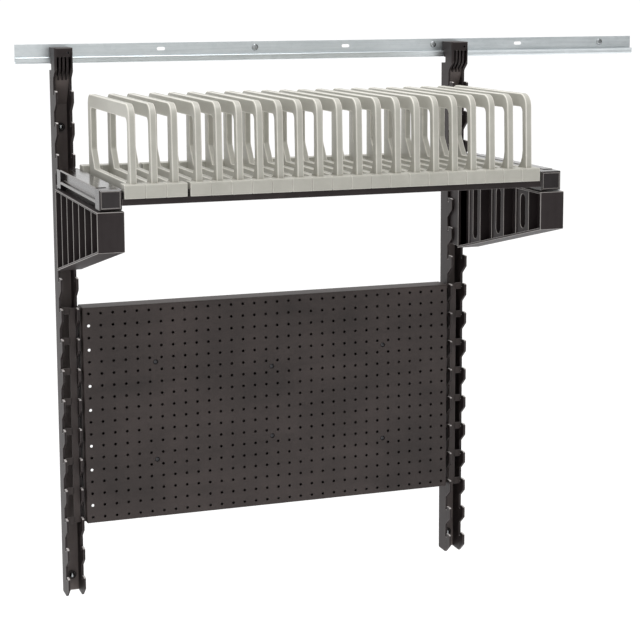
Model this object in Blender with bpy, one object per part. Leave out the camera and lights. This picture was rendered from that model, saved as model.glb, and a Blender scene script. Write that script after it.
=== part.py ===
"""Wall-hung storage unit: a galvanised wall rail carries two hooked uprights. On them hang two ribbed
brackets with a shelf frame of upright hoop dividers, and below them a perforated steel panel.

The back of the rail is the plane Y = 0 and the front faces -Y. X runs to the right and Z upwards, in metres.
"""

from math import cos, pi, sin

import bmesh
import bpy

for item in list(bpy.data.objects):
    bpy.data.objects.remove(item, do_unlink=True)

MM = 0.001

# Fit between pieces that touch on the real unit.
FIT = 0.3 * MM

# Wall rail: folded sheet with a gutter along its lower edge.
RAIL_LENGTH = 1397.0 * MM
RAIL_SHEET = 2.0 * MM
RAIL_TOP = 29.0 * MM
RAIL_BOTTOM = -10.0 * MM
RAIL_LIP_TOP = 2.6 * MM
RAIL_GUTTER = 9.0 * MM
RAIL_HOLE_Z = 16.5 * MM
RAIL_HOLE_PITCH = 203.2 * MM
RAIL_SCREW_COUNT = 4
RAIL_SCREW_SHANK = 2.6 * MM
RAIL_SCREW_HEAD = 7.0 * MM
RAIL_SCREW_HEAD_HEIGHT = 2.4 * MM
RAIL_SLOT_LENGTH = 18.0 * MM
RAIL_SLOT_WIDTH = 7.0 * MM

# Uprights: channels open to the front, with hook lugs on both flanges.
UPRIGHT_SPACING = 863.6 * MM
RAIL_REACH_LEFT = 88.7 * MM
RAIL_LEFT = -UPRIGHT_SPACING / 2 - RAIL_REACH_LEFT
RAIL_END_TO_SCREW = 99.5 * MM
RAIL_FIRST_SCREW = RAIL_LEFT + RAIL_END_TO_SCREW
UPRIGHT_WIDTH = 38.0 * MM
UPRIGHT_WALL = 5.0 * MM
UPRIGHT_WEB = 4.0 * MM
UPRIGHT_DEPTH = 38.0 * MM
LUG_DEPTH = 60.0 * MM
LUG_PITCH = 63.5 * MM
LUG_COUNT = 17
FIRST_LUG_Z = -63.2 * MM
LUG_FRONT = 24.0 * MM
LUG_SLOPE = 18.5 * MM
LUG_NOTCH_WIDTH = 5.6 * MM
LUG_NOTCH_DEPTH = 9.0 * MM
UPRIGHT_FOOT = 43.8 * MM
UPRIGHT_BOTTOM = FIRST_LUG_Z - (LUG_COUNT - 1) * LUG_PITCH - UPRIGHT_FOOT
HEAD_TOP = 23.0 * MM
HEAD_BACK = RAIL_SHEET + RAIL_SCREW_HEAD_HEIGHT + 2 * FIT
HEAD_TONGUE = RAIL_GUTTER - HEAD_BACK - 0.4 * MM
HEAD_TONGUE_END = RAIL_BOTTOM + RAIL_SHEET + MM
HEAD_STEP_Z = -23.0 * MM
HEAD_UNDERCUT = 21.0 * MM
HEAD_LIP_SLOT = 14.0 * MM
HEAD_BEND_TOP = -19.0 * MM
HEAD_BEND_END = -38.0 * MM
HEAD_RIB_END = -48.0 * MM
GROOVE_TOP = 4.0 * MM
GROOVE_PITCH = 7.8 * MM
GROOVE_WIDTH = 4.0 * MM
GROOVE_DEPTH = 26.0 * MM
LOCK_SCREW_X = 9.0 * MM
LOCK_SCREW_Z = 13.0 * MM
LOCK_SCREW_RADIUS = 2.2 * MM
WEB_HOLE_RADIUS = 3.2 * MM
WEB_BOSS_RADIUS = 6.5 * MM
WEB_BOSS_HEIGHT = 3.0 * MM
WEB_HOLE_TOP_Z = -139.0 * MM
WEB_HOLE_BOTTOM_Z = UPRIGHT_BOTTOM + 35.0 * MM

# Brackets: ribbed cantilevers, flush with the inner side of the uprights.
BRACKET_WIDTH = 50.0 * MM
BRACKET_LUG = 3
BRACKET_TOP = FIRST_LUG_Z - BRACKET_LUG * LUG_PITCH - 2.3 * MM
BRACKET_FRONT = -493.0 * MM
BRACKET_REAR = -93.0 * MM
BRACKET_FRONT_HEIGHT = 74.0 * MM
BRACKET_REAR_HEIGHT = 165.0 * MM
BRACKET_RIB_PITCH = 57.2 * MM
BRACKET_CELLS = 7
BRACKET_RIM = 5.0 * MM
BRACKET_RIB = 3.0 * MM
BRACKET_POCKET = 17.0 * MM
BRACKET_PAD_POCKET = 6.0 * MM
BRACKET_SLOT_WIDTH = 20.0 * MM
BRACKET_SLOT_DROP = 16.0 * MM
HOOK_PLATE_REAR = -10.0 * MM
HOOK_PLATE_HEIGHT = 163.0 * MM
HOOK_BAR_HEIGHT = 8.4 * MM

# Shelf frame: two side beams with end caps, a front beam and a rear beam.
SHELF_OVERHANG = 25.4 * MM
SHELF_WIDTH = UPRIGHT_SPACING + 2 * SHELF_OVERHANG
SHELF_FRONT = -491.0 * MM
SHELF_REAR = -86.0 * MM
CAP_DEPTH = 37.0 * MM
CAP_BOTTOM = BRACKET_TOP + 2.7 * MM
CAP_TOP = CAP_BOTTOM + 37.3 * MM
BEAM_TOP = CAP_TOP + 1.2 * MM
BEAM_WIDTH = 41.5 * MM
BEAM_CREST = 20.0 * MM
BEAM_GROOVE = 7.0 * MM
BEAM_LIP_Z = BRACKET_TOP + 13.0 * MM
CROSS_BEAM_BOTTOM = BRACKET_TOP + 10.0 * MM
CROSS_BEAM_TOP = CROSS_BEAM_BOTTOM + 11.7 * MM
CROSS_BEAM_DEPTH = 29.0 * MM
UPSTAND_TOP = CROSS_BEAM_TOP + 12.3 * MM
UPSTAND_WIDTH = 9.0 * MM
TENON_LENGTH = 10.0 * MM
TENON_SIDE = 8.0 * MM
STUD_HEIGHT = 5.0 * MM

# Hoop dividers: one moulding each, standing on a front and a rear block.
HOOP_COUNT = 21
HOOP_SIDE_GAP = 4.025 * MM
HOOP_EXTRA_GAP = 5.4 * MM
HOOPS_BEFORE_GAP = 3
HOOP_ROW = SHELF_WIDTH - 2 * (BEAM_WIDTH + HOOP_SIDE_GAP)
HOOP_PITCH = (HOOP_ROW - HOOP_EXTRA_GAP) / HOOP_COUNT
HOOP_JOINT = 0.4 * MM
HOOP_BLOCK_WIDTH = HOOP_PITCH - HOOP_JOINT
HOOP_THICKNESS = 12.0 * MM
HOOP_BAR = 25.5 * MM
HOOP_REAR = -120.0 * MM
HOOP_REAR_LEG = 25.0 * MM
HOOP_FRONT_TOP = -476.0 * MM
HOOP_FRONT_FOOT = -482.0 * MM
HOOP_FRONT_LEG = 15.0 * MM
HOOP_CORNER = 25.0 * MM
BLOCK_BOTTOM = CROSS_BEAM_TOP + FIT
BLOCK_TOP = BLOCK_BOTTOM + 25.5 * MM
HOOP_HEIGHT = 143.0 * MM
HOOP_TOP = BLOCK_TOP + HOOP_HEIGHT
BLOCK_FRONT = -492.0 * MM
BLOCK_DEPTH = 34.0 * MM
BLOCK_REAR = -90.0 * MM
RUNNER_BOTTOM = BLOCK_BOTTOM + 4.0 * MM

# Perforated panel with folded edges, and the hangers that hold it on the lugs.
PANEL_CLEARANCE = 6.4 * MM
PANEL_WIDTH = UPRIGHT_SPACING - UPRIGHT_WIDTH - 2 * PANEL_CLEARANCE
PANEL_HEIGHT = 457.2 * MM
PANEL_FIRST_LUG = 7
PANEL_TOP = FIRST_LUG_Z - PANEL_FIRST_LUG * LUG_PITCH + 0.1 * MM
PANEL_FRONT = -55.5 * MM
PANEL_REAR = -10.0 * MM
PANEL_SHEET = 1.6 * MM
PANEL_LARGE_HOLE = 4.5 * MM
PANEL_OUTER_HOLE_X = 254.0 * MM
PANEL_OUTER_HOLE_Z = 104.6 * MM
PANEL_MIDDLE_HOLE_Z = 76.2 * MM
BACK_SHEET = 1.6 * MM
BACK_INSET = 2.0 * MM
BACK_WINDOW_TALL = 26.0 * MM
BACK_WINDOW_WIDE = 20.0 * MM
BACK_WINDOW_DROP = 41.0 * MM
HANGER_SHEET = 3.0 * MM
HANGER_FRONT = -43.6 * MM
HANGER_WINDOW = 13.2 * MM
HANGER_TAB = 8.4 * MM
RIVET_RADIUS = 2.4 * MM
RIVET_HEAD = 4.2 * MM
RIVET_HEAD_HEIGHT = 1.5 * MM


def material(obj, color, rough, metal=0.0):
    mat = bpy.data.materials.new(obj.name + "_finish")
    mat.use_nodes = True
    shader = mat.node_tree.nodes["Principled BSDF"]
    shader.inputs["Base Color"].default_value = (*color, 1.0)
    shader.inputs["Roughness"].default_value = rough
    shader.inputs["Metallic"].default_value = metal
    obj.data.materials.clear()
    obj.data.materials.append(mat)


def prism(name, axis, outline, low, high):
    """A closed prism: the outline lies in the two other axes, in cyclic order, from low to high along the axis."""
    shape = bmesh.new()
    rings = []
    for level in (low, high):
        ring = []
        for u, v in outline:
            point = {"X": (level, u, v), "Y": (u, level, v), "Z": (u, v, level)}[axis]
            ring.append(shape.verts.new(point))
        rings.append(ring)
    count = len(outline)
    shape.faces.new(rings[0])
    shape.faces.new(rings[1])
    for i in range(count):
        j = (i + 1) % count
        shape.faces.new((rings[0][i], rings[0][j], rings[1][j], rings[1][i]))
    bmesh.ops.recalc_face_normals(shape, faces=shape.faces)
    if shape.calc_volume(signed=True) < 0:
        bmesh.ops.reverse_faces(shape, faces=shape.faces)
    mesh = bpy.data.meshes.new(name)
    shape.to_mesh(mesh)
    shape.free()
    obj = bpy.data.objects.new(name, mesh)
    bpy.context.scene.collection.objects.link(obj)
    return obj


def box(name, x, y, z):
    outline = [(x[0], y[0]), (x[1], y[0]), (x[1], y[1]), (x[0], y[1])]
    return prism(name, "Z", outline, z[0], z[1])


def disc(center, radius, segments=16):
    points = []
    for i in range(segments):
        turn = 2 * pi * (i + 0.5) / segments
        points.append((center[0] + radius * cos(turn), center[1] + radius * sin(turn)))
    return points


def obround(center, length, width, upright=False, steps=6):
    """A slot outline whose long side runs along the first coordinate, or along the second when upright."""
    points = []
    reach = (length - width) / 2
    for side in (1, -1):
        for i in range(steps + 1):
            turn = -pi / 2 + pi * i / steps
            along = side * (reach + width / 2 * cos(turn))
            across = side * width / 2 * sin(turn)
            if upright:
                points.append((center[0] - across, center[1] + along))
            else:
                points.append((center[0] + along, center[1] + across))
    return points


def corner(center, radius, start, end, steps=4):
    points = []
    for i in range(steps + 1):
        turn = (start + (end - start) * i / steps) * pi / 180
        points.append((center[0] + radius * cos(turn), center[1] + radius * sin(turn)))
    return points


def combine(target, tool, operation):
    modifier = target.modifiers.new("combine", "BOOLEAN")
    modifier.operation = operation
    modifier.solver = "EXACT"
    modifier.object = tool
    bpy.context.view_layer.update()
    graph = bpy.context.evaluated_depsgraph_get()
    mesh = bpy.data.meshes.new_from_object(target.evaluated_get(graph))
    target.modifiers.clear()
    target.data = mesh
    bpy.data.objects.remove(tool, do_unlink=True)


def cut(target, tool):
    combine(target, tool, "DIFFERENCE")


def join(target, tool):
    combine(target, tool, "UNION")


def turned_pin(name, center, sections, segments=16):
    """A round piece along Y: sections are (y, radius) pairs, front to back."""
    shape = bmesh.new()
    rings = []
    for y, radius in sections:
        rings.append([shape.verts.new((px, y, pz)) for px, pz in disc(center, radius, segments)])
    for a, b in zip(rings, rings[1:]):
        for i in range(segments):
            j = (i + 1) % segments
            shape.faces.new((a[i], a[j], b[j], b[i]))
    shape.faces.new(rings[0])
    shape.faces.new(rings[-1])
    bmesh.ops.recalc_face_normals(shape, faces=shape.faces)
    mesh = bpy.data.meshes.new(name)
    shape.to_mesh(mesh)
    shape.free()
    obj = bpy.data.objects.new(name, mesh)
    bpy.context.scene.collection.objects.link(obj)
    return obj


def set_origin(obj, point):
    for vertex in obj.data.vertices:
        vertex.co.x -= point[0]
        vertex.co.y -= point[1]
        vertex.co.z -= point[2]
    obj.location = point


# Wall rail and its screws.
def make_rail():
    sheet = RAIL_SHEET
    outline = [
        (0.0, RAIL_TOP),
        (0.0, RAIL_BOTTOM + 1.5 * sheet),
        (-0.5 * sheet, RAIL_BOTTOM + 0.4 * sheet),
        (-1.5 * sheet, RAIL_BOTTOM),
        (-RAIL_GUTTER - sheet * 0.1, RAIL_BOTTOM),
        (-RAIL_GUTTER - sheet * 0.8, RAIL_BOTTOM + 0.4 * sheet),
        (-RAIL_GUTTER - sheet, RAIL_BOTTOM + 1.5 * sheet),
        (-RAIL_GUTTER - sheet, RAIL_LIP_TOP - 0.4 * sheet),
        (-RAIL_GUTTER - 0.7 * sheet, RAIL_LIP_TOP),
        (-RAIL_GUTTER, RAIL_LIP_TOP),
        (-RAIL_GUTTER, RAIL_BOTTOM + 1.6 * sheet),
        (-RAIL_GUTTER + 0.5 * sheet, RAIL_BOTTOM + sheet),
        (-1.6 * sheet, RAIL_BOTTOM + sheet),
        (-sheet, RAIL_BOTTOM + 1.6 * sheet),
        (-sheet, RAIL_TOP),
    ]
    rail = prism("wall_rail", "X", outline, RAIL_LEFT, RAIL_LEFT + RAIL_LENGTH)
    for i in range(2 * RAIL_SCREW_COUNT - 1):
        x = RAIL_FIRST_SCREW + i * RAIL_HOLE_PITCH
        if i % 2:
            hole = obround((x, RAIL_HOLE_Z), RAIL_SLOT_LENGTH, RAIL_SLOT_WIDTH)
        else:
            hole = disc((x, RAIL_HOLE_Z), RAIL_SCREW_SHANK + FIT)
        cut(rail, prism("hole", "Y", hole, -3 * sheet, sheet))
    material(rail, (0.55, 0.60, 0.62), 0.35, 1.0)
    for i in range(RAIL_SCREW_COUNT):
        x = RAIL_FIRST_SCREW + 2 * i * RAIL_HOLE_PITCH
        front = -sheet - FIT - RAIL_SCREW_HEAD_HEIGHT
        sections = [
            (front, RAIL_SCREW_HEAD * 0.62),
            (front + 0.9 * MM, RAIL_SCREW_HEAD * 0.93),
            (front + 1.7 * MM, RAIL_SCREW_HEAD),
            (-sheet - FIT, RAIL_SCREW_HEAD),
            (-sheet - FIT, RAIL_SCREW_SHANK),
            (-0.2 * MM, RAIL_SCREW_SHANK),
        ]
        screw = turned_pin(f"rail_screw_{i + 1}", (x, RAIL_HOLE_Z), sections)
        for wide, tall in ((5.4 * MM, 1.2 * MM), (1.2 * MM, 5.4 * MM)):
            recess = box(
                "recess",
                (x - wide / 2, x + wide / 2),
                (front - MM, front + 1.3 * MM),
                (RAIL_HOLE_Z - tall / 2, RAIL_HOLE_Z + tall / 2),
            )
            cut(screw, recess)
        material(screw, (0.6, 0.62, 0.64), 0.3, 1.0)


# Uprights: two flanges with lugs, a web, and the ribbed head that hooks into the gutter of the rail.
def flange_outline():
    lip_top = RAIL_LIP_TOP + 0.8 * MM
    tongue = HEAD_BACK + HEAD_TONGUE
    points = [
        (-HEAD_BACK, HEAD_TOP),
        (-HEAD_BACK, HEAD_TONGUE_END + 1.0 * MM),
        (-HEAD_BACK - 1.0 * MM, HEAD_TONGUE_END),
        (-tongue + 0.8 * MM, HEAD_TONGUE_END),
        (-tongue, HEAD_TONGUE_END + 0.8 * MM),
        (-tongue, lip_top),
        (-HEAD_LIP_SLOT, lip_top),
        (-HEAD_LIP_SLOT, RAIL_BOTTOM - 0.5 * MM),
        (-HEAD_UNDERCUT, RAIL_BOTTOM - 0.5 * MM),
        (-HEAD_UNDERCUT, HEAD_STEP_Z),
        (0.0, HEAD_STEP_Z),
        (0.0, UPRIGHT_BOTTOM + 2.0 * MM),
        (-2.0 * MM, UPRIGHT_BOTTOM),
        (-UPRIGHT_DEPTH, UPRIGHT_BOTTOM),
    ]
    front = -LUG_DEPTH
    narrow = -UPRIGHT_DEPTH
    notch = narrow - LUG_NOTCH_WIDTH
    for i in reversed(range(LUG_COUNT)):
        top = FIRST_LUG_Z - i * LUG_PITCH
        points += [
            (narrow, top - LUG_FRONT - LUG_SLOPE),
            (front, top - LUG_FRONT),
            (front, top - 1.5 * MM),
            (front + 1.5 * MM, top),
            (notch, top),
            (notch, top - LUG_NOTCH_DEPTH),
            (narrow, top - LUG_NOTCH_DEPTH),
        ]
    points += [
        (narrow, HEAD_BEND_END - 3.0 * MM),
        (narrow - 3.0 * MM, HEAD_BEND_END + 1.5 * MM),
        (front + 2.5 * MM, HEAD_BEND_TOP - 2.0 * MM),
        (front, HEAD_BEND_TOP + 3.0 * MM),
        (front, HEAD_TOP - 2.0 * MM),
        (front + 2.0 * MM, HEAD_TOP),
    ]
    bottom = UPRIGHT_BOTTOM + 0.5 * MM
    return [p for k, p in enumerate(points) if k != 13 or points[14][1] > bottom]


def make_upright(name, center):
    half = UPRIGHT_WIDTH / 2
    outline = flange_outline()
    upright = prism(name, "X", outline, center - half, center - half + UPRIGHT_WALL)
    join(upright, prism("flange", "X", outline, center + half - UPRIGHT_WALL, center + half))
    reach = half - UPRIGHT_WALL + 0.5 * MM
    web_x = (center - reach, center + reach)
    join(upright, box("web", web_x, (-UPRIGHT_WEB, 0.0), (UPRIGHT_BOTTOM, HEAD_STEP_Z - 6.0 * MM)))
    lip_top = RAIL_LIP_TOP + 0.8 * MM
    tongue = HEAD_BACK + HEAD_TONGUE
    core = [
        (-HEAD_BACK, HEAD_TOP),
        (-HEAD_BACK, HEAD_TONGUE_END + 1.0 * MM),
        (-HEAD_BACK - 1.0 * MM, HEAD_TONGUE_END),
        (-tongue + 0.8 * MM, HEAD_TONGUE_END),
        (-tongue, HEAD_TONGUE_END + 0.8 * MM),
        (-tongue, lip_top),
        (-HEAD_LIP_SLOT, lip_top),
        (-HEAD_LIP_SLOT, RAIL_BOTTOM - 0.5 * MM),
        (-HEAD_UNDERCUT, RAIL_BOTTOM - 0.5 * MM),
        (-HEAD_UNDERCUT, HEAD_STEP_Z),
        (0.0, HEAD_STEP_Z),
        (0.0, HEAD_RIB_END - 6.0 * MM),
        (-UPRIGHT_WEB, HEAD_RIB_END - 6.0 * MM),
        (-UPRIGHT_DEPTH + 2.0 * MM, HEAD_BEND_END - 3.0 * MM),
        (-LUG_DEPTH + 2.0 * MM, HEAD_BEND_TOP),
        (-LUG_DEPTH + 2.0 * MM, GROOVE_TOP),
        (-LUG_DEPTH, GROOVE_TOP),
        (-LUG_DEPTH, HEAD_TOP - 2.0 * MM),
        (-LUG_DEPTH + 2.0 * MM, HEAD_TOP),
    ]
    join(upright, prism("core", "X", core, *web_x))
    groove = [
        (-LUG_DEPTH - 2.0 * MM, GROOVE_TOP - 1.0 * MM),
        (-LUG_DEPTH - 2.0 * MM, HEAD_BEND_TOP),
        (-UPRIGHT_DEPTH - 2.0 * MM, HEAD_BEND_END - 2.0 * MM),
        (-UPRIGHT_DEPTH - 2.0 * MM, HEAD_RIB_END - 16.0 * MM),
        (-UPRIGHT_WEB - 1.5 * MM, HEAD_RIB_END - 16.0 * MM),
        (-UPRIGHT_WEB - 1.5 * MM, HEAD_RIB_END),
        (-LUG_DEPTH + GROOVE_DEPTH, HEAD_BEND_TOP - 8.0 * MM),
        (-LUG_DEPTH + GROOVE_DEPTH, GROOVE_TOP - 1.0 * MM),
    ]
    for i in range(4):
        x = center + (i - 1.5) * GROOVE_PITCH
        cut(upright, prism("groove", "X", groove, x - GROOVE_WIDTH / 2, x + GROOVE_WIDTH / 2))
    for z in (WEB_HOLE_TOP_Z, WEB_HOLE_BOTTOM_Z):
        boss = disc((center, z), WEB_BOSS_RADIUS)
        join(upright, prism("boss", "Y", boss, -UPRIGHT_WEB - WEB_BOSS_HEIGHT, -0.5 * UPRIGHT_WEB))
        hole = disc((center, z), WEB_HOLE_RADIUS)
        cut(upright, prism("hole", "Y", hole, -3 * UPRIGHT_WEB, UPRIGHT_WEB))
    screw_at = (center + LOCK_SCREW_X, LOCK_SCREW_Z)
    bore = disc(screw_at, LOCK_SCREW_RADIUS + FIT, 12)
    cut(upright, prism("bore", "Y", bore, -LUG_DEPTH - MM, 0.0))
    material(upright, (0.035, 0.031, 0.031), 0.38)
    return upright


def make_lock_screw(name, center):
    at = (center + LOCK_SCREW_X, LOCK_SCREW_Z)
    sections = [(-LUG_DEPTH + 6.0 * MM, LOCK_SCREW_RADIUS), (-HEAD_BACK - FIT, LOCK_SCREW_RADIUS)]
    screw = turned_pin(name, at, sections, 12)
    socket = disc(at, LOCK_SCREW_RADIUS * 0.55, 6)
    cut(screw, prism("socket", "Y", socket, -LUG_DEPTH, -LUG_DEPTH + 9.0 * MM))
    set_origin(screw, (at[0], 0.0, at[1]))
    material(screw, (0.25, 0.25, 0.26), 0.4, 1.0)


# Brackets: a slab with pockets between ribs on both sides, and a hook plate behind it.
def bracket_depth_at(y):
    share = (y - BRACKET_FRONT) / (BRACKET_REAR - BRACKET_FRONT)
    return BRACKET_TOP - BRACKET_FRONT_HEIGHT - share * (BRACKET_REAR_HEIGHT - BRACKET_FRONT_HEIGHT)


def make_bracket(name, side):
    upright = side * UPRIGHT_SPACING / 2
    inner = upright - side * UPRIGHT_WIDTH / 2
    outer = inner + side * BRACKET_WIDTH
    low, high = min(inner, outer), max(inner, outer)
    slab = [
        (BRACKET_REAR, BRACKET_TOP),
        (BRACKET_FRONT + 1.5 * MM, BRACKET_TOP),
        (BRACKET_FRONT, BRACKET_TOP - 1.5 * MM),
        (BRACKET_FRONT, bracket_depth_at(BRACKET_FRONT) + 1.5 * MM),
        (BRACKET_FRONT + 1.5 * MM, bracket_depth_at(BRACKET_FRONT + 1.5 * MM)),
        (BRACKET_REAR, bracket_depth_at(BRACKET_REAR)),
    ]
    bracket = prism(name, "X", slab, low, high)
    first = BRACKET_FRONT + BRACKET_RIM
    edges = [BRACKET_REAR - i * BRACKET_RIB_PITCH for i in range(BRACKET_CELLS)]
    for i, rear in enumerate(edges):
        y1 = rear - BRACKET_RIB / 2 if i else rear - BRACKET_RIM
        y0 = max(rear - BRACKET_RIB_PITCH + BRACKET_RIB / 2, first)
        top = BRACKET_TOP - BRACKET_RIM
        pocket = [
            (y1, top),
            (y0, top),
            (y0, bracket_depth_at(y0) + BRACKET_RIM),
            (y1, bracket_depth_at(y1) + BRACKET_RIM),
        ]
        depth = BRACKET_PAD_POCKET if i % 2 else BRACKET_POCKET
        inside = sorted((inner - side * MM, inner + side * depth))
        outside = sorted((outer - side * BRACKET_POCKET, outer + side * MM))
        cut(bracket, prism("pocket", "X", pocket, *inside))
        cut(bracket, prism("pocket", "X", pocket, *outside))
        if i % 2:
            y = (y0 + y1) / 2
            length = top - bracket_depth_at(y) - BRACKET_SLOT_DROP - BRACKET_RIM
            center = (y, top - BRACKET_SLOT_DROP / 2 - length / 2)
            slot = obround(center, length, BRACKET_SLOT_WIDTH, True)
            reach = sorted((inner - side * MM, inner + side * (BRACKET_WIDTH / 2 - 2.0 * MM)))
            cut(bracket, prism("slot", "X", slot, *reach))
    plate_half = UPRIGHT_WIDTH / 2 - UPRIGHT_WALL - 0.8 * MM
    plate_x = (upright - plate_half, upright + plate_half)
    plate = [
        (BRACKET_REAR - 3.0 * MM, BRACKET_TOP - 2.0 * MM),
        (BRACKET_REAR - 3.0 * MM, bracket_depth_at(BRACKET_REAR) + 2.0 * MM),
        (BRACKET_REAR + 14.0 * MM, BRACKET_TOP - HOOK_PLATE_HEIGHT),
        (HOOK_PLATE_REAR, BRACKET_TOP - HOOK_PLATE_HEIGHT),
        (HOOK_PLATE_REAR, BRACKET_TOP - 8.0 * MM),
        (HOOK_PLATE_REAR - 6.0 * MM, BRACKET_TOP - 2.0 * MM),
    ]
    join(bracket, prism("plate", "X", plate, *plate_x))
    bar_y = (-UPRIGHT_DEPTH - LUG_NOTCH_WIDTH + FIT, -UPRIGHT_DEPTH - FIT)
    half = UPRIGHT_WIDTH / 2 - 0.5 * MM
    for k in (BRACKET_LUG + 1, BRACKET_LUG + 2):
        floor = FIRST_LUG_Z - k * LUG_PITCH - LUG_NOTCH_DEPTH + FIT
        z = (floor, floor + HOOK_BAR_HEIGHT)
        join(bracket, box("bar", (upright - half, upright + half), bar_y, z))
    for y in (BRACKET_FRONT + 70.0 * MM, BRACKET_REAR - 70.0 * MM):
        x = (low + high) / 2
        stud = box(
            "stud",
            (x - 3.0 * MM, x + 3.0 * MM),
            (y - 6.0 * MM, y + 6.0 * MM),
            (BRACKET_TOP - 2.0 * MM, BRACKET_TOP + STUD_HEIGHT),
        )
        join(bracket, stud)
    material(bracket, (0.035, 0.031, 0.031), 0.42)


# Shelf frame.
def make_side_beam(name, side):
    outer = SHELF_WIDTH / 2
    inner = outer - BEAM_WIDTH
    foot = BRACKET_TOP + FIT
    section = [
        (outer - 1.0 * MM, BEAM_TOP),
        (outer, BEAM_TOP - 1.0 * MM),
        (outer, BEAM_TOP - 4.0 * MM),
        (outer - BEAM_GROOVE, BEAM_TOP - 5.0 * MM),
        (outer - BEAM_GROOVE, BEAM_LIP_Z + 6.0 * MM),
        (outer, BEAM_LIP_Z + 5.0 * MM),
        (outer, BEAM_LIP_Z),
        (outer - 11.0 * MM, BEAM_LIP_Z),
        (outer - 11.0 * MM, foot),
        (inner + 5.0 * MM, foot),
        (inner + 5.0 * MM, BEAM_LIP_Z),
        (inner, BEAM_LIP_Z),
        (inner, CAP_TOP),
        (outer - BEAM_CREST, CAP_TOP),
        (outer - BEAM_CREST, BEAM_TOP),
    ]
    section = [(side * x, z) for x, z in section]
    y0 = SHELF_FRONT + CAP_DEPTH + FIT
    y1 = SHELF_REAR - CAP_DEPTH - FIT
    beam = prism(name, "Y", section, y0, y1)
    x = side * (outer - BEAM_WIDTH / 2)
    z = (CAP_TOP + CAP_BOTTOM) / 2
    half = TENON_SIDE / 2 + FIT
    length = TENON_LENGTH + FIT
    for y in (y0, y1):
        cut(beam, box("socket", (x - half, x + half), (y - length, y + length), (z - half, z + half)))
    bracket_x = side * (UPRIGHT_SPACING / 2 - UPRIGHT_WIDTH / 2 + BRACKET_WIDTH / 2)
    for y in (BRACKET_FRONT + 70.0 * MM, BRACKET_REAR - 70.0 * MM):
        hole = box(
            "hole",
            (bracket_x - 3.4 * MM, bracket_x + 3.4 * MM),
            (y - 6.4 * MM, y + 6.4 * MM),
            (foot - MM, BRACKET_TOP + STUD_HEIGHT + 0.5 * MM),
        )
        cut(beam, hole)
    material(beam, (0.16, 0.155, 0.15), 0.3)


def make_cap(name, side, front):
    outer = side * SHELF_WIDTH / 2
    inner = outer - side * BEAM_WIDTH
    x0, x1 = min(outer, inner), max(outer, inner)
    y0 = SHELF_FRONT if front else SHELF_REAR - CAP_DEPTH
    y1 = y0 + CAP_DEPTH
    outline = [(x0, y0 + MM), (x0 + MM, y0), (x1 - MM, y0), (x1, y0 + MM)]
    outline += [(x1, y1 - MM), (x1 - MM, y1), (x0 + MM, y1), (x0, y1 - MM)]
    cap = prism(name, "Z", outline, CAP_BOTTOM, CAP_TOP)
    x = (x0 + x1) / 2
    z = (CAP_TOP + CAP_BOTTOM) / 2
    half = TENON_SIDE / 2
    tenon_y = (y1 - MM, y1 + TENON_LENGTH) if front else (y0 - TENON_LENGTH, y0 + MM)
    join(cap, box("tenon", (x - half, x + half), tenon_y, (z - half, z + half)))
    beam_y = cross_beam_y(front)
    middle = (beam_y[0] + beam_y[1]) / 2
    z = (CROSS_BEAM_BOTTOM + CROSS_BEAM_TOP) / 2
    half = TENON_SIDE / 2 + FIT
    reach = sorted((inner - side * MM, inner + side * (TENON_LENGTH + 2 * FIT)))
    cut(cap, box("socket", reach, (middle - half, middle + half), (z - half, z + half)))
    material(cap, (0.04, 0.037, 0.038), 0.35)


def cross_beam_y(front):
    if front:
        return SHELF_FRONT + 2.0 * MM, SHELF_FRONT + 2.0 * MM + CROSS_BEAM_DEPTH
    return SHELF_REAR - 5.0 * MM - CROSS_BEAM_DEPTH, SHELF_REAR - 5.0 * MM


def upstand_y(front):
    y0, y1 = cross_beam_y(front)
    middle = (y0 + y1) / 2
    return middle - UPSTAND_WIDTH / 2, middle + UPSTAND_WIDTH / 2


def make_cross_beam(name, front):
    half = SHELF_WIDTH / 2 - BEAM_WIDTH - FIT
    y0, y1 = cross_beam_y(front)
    u0, u1 = upstand_y(front)
    section = [
        (y0, CROSS_BEAM_BOTTOM + MM),
        (y0 + MM, CROSS_BEAM_BOTTOM),
        (y1 - MM, CROSS_BEAM_BOTTOM),
        (y1, CROSS_BEAM_BOTTOM + MM),
        (y1, CROSS_BEAM_TOP),
        (u1, CROSS_BEAM_TOP),
        (u1, UPSTAND_TOP),
        (u0, UPSTAND_TOP),
        (u0, CROSS_BEAM_TOP),
        (y0, CROSS_BEAM_TOP),
    ]
    beam = prism(name, "X", section, -half, half)
    middle = (y0 + y1) / 2
    z = (CROSS_BEAM_BOTTOM + CROSS_BEAM_TOP) / 2
    t = TENON_SIDE / 2
    for side in (-1, 1):
        reach = sorted((side * (half - MM), side * (half + FIT + TENON_LENGTH)))
        join(beam, box("tenon", reach, (middle - t, middle + t), (z - t, z + t)))
    material(beam, (0.045, 0.04, 0.038), 0.4)


# Hoop dividers.
def hoop_centers():
    span = HOOP_COUNT * HOOP_PITCH + HOOP_EXTRA_GAP
    centers = []
    for i in range(HOOP_COUNT):
        x = -span / 2 + (i + 0.5) * HOOP_PITCH
        if i >= HOOPS_BEFORE_GAP:
            x += HOOP_EXTRA_GAP
        centers.append(x)
    return centers


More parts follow.
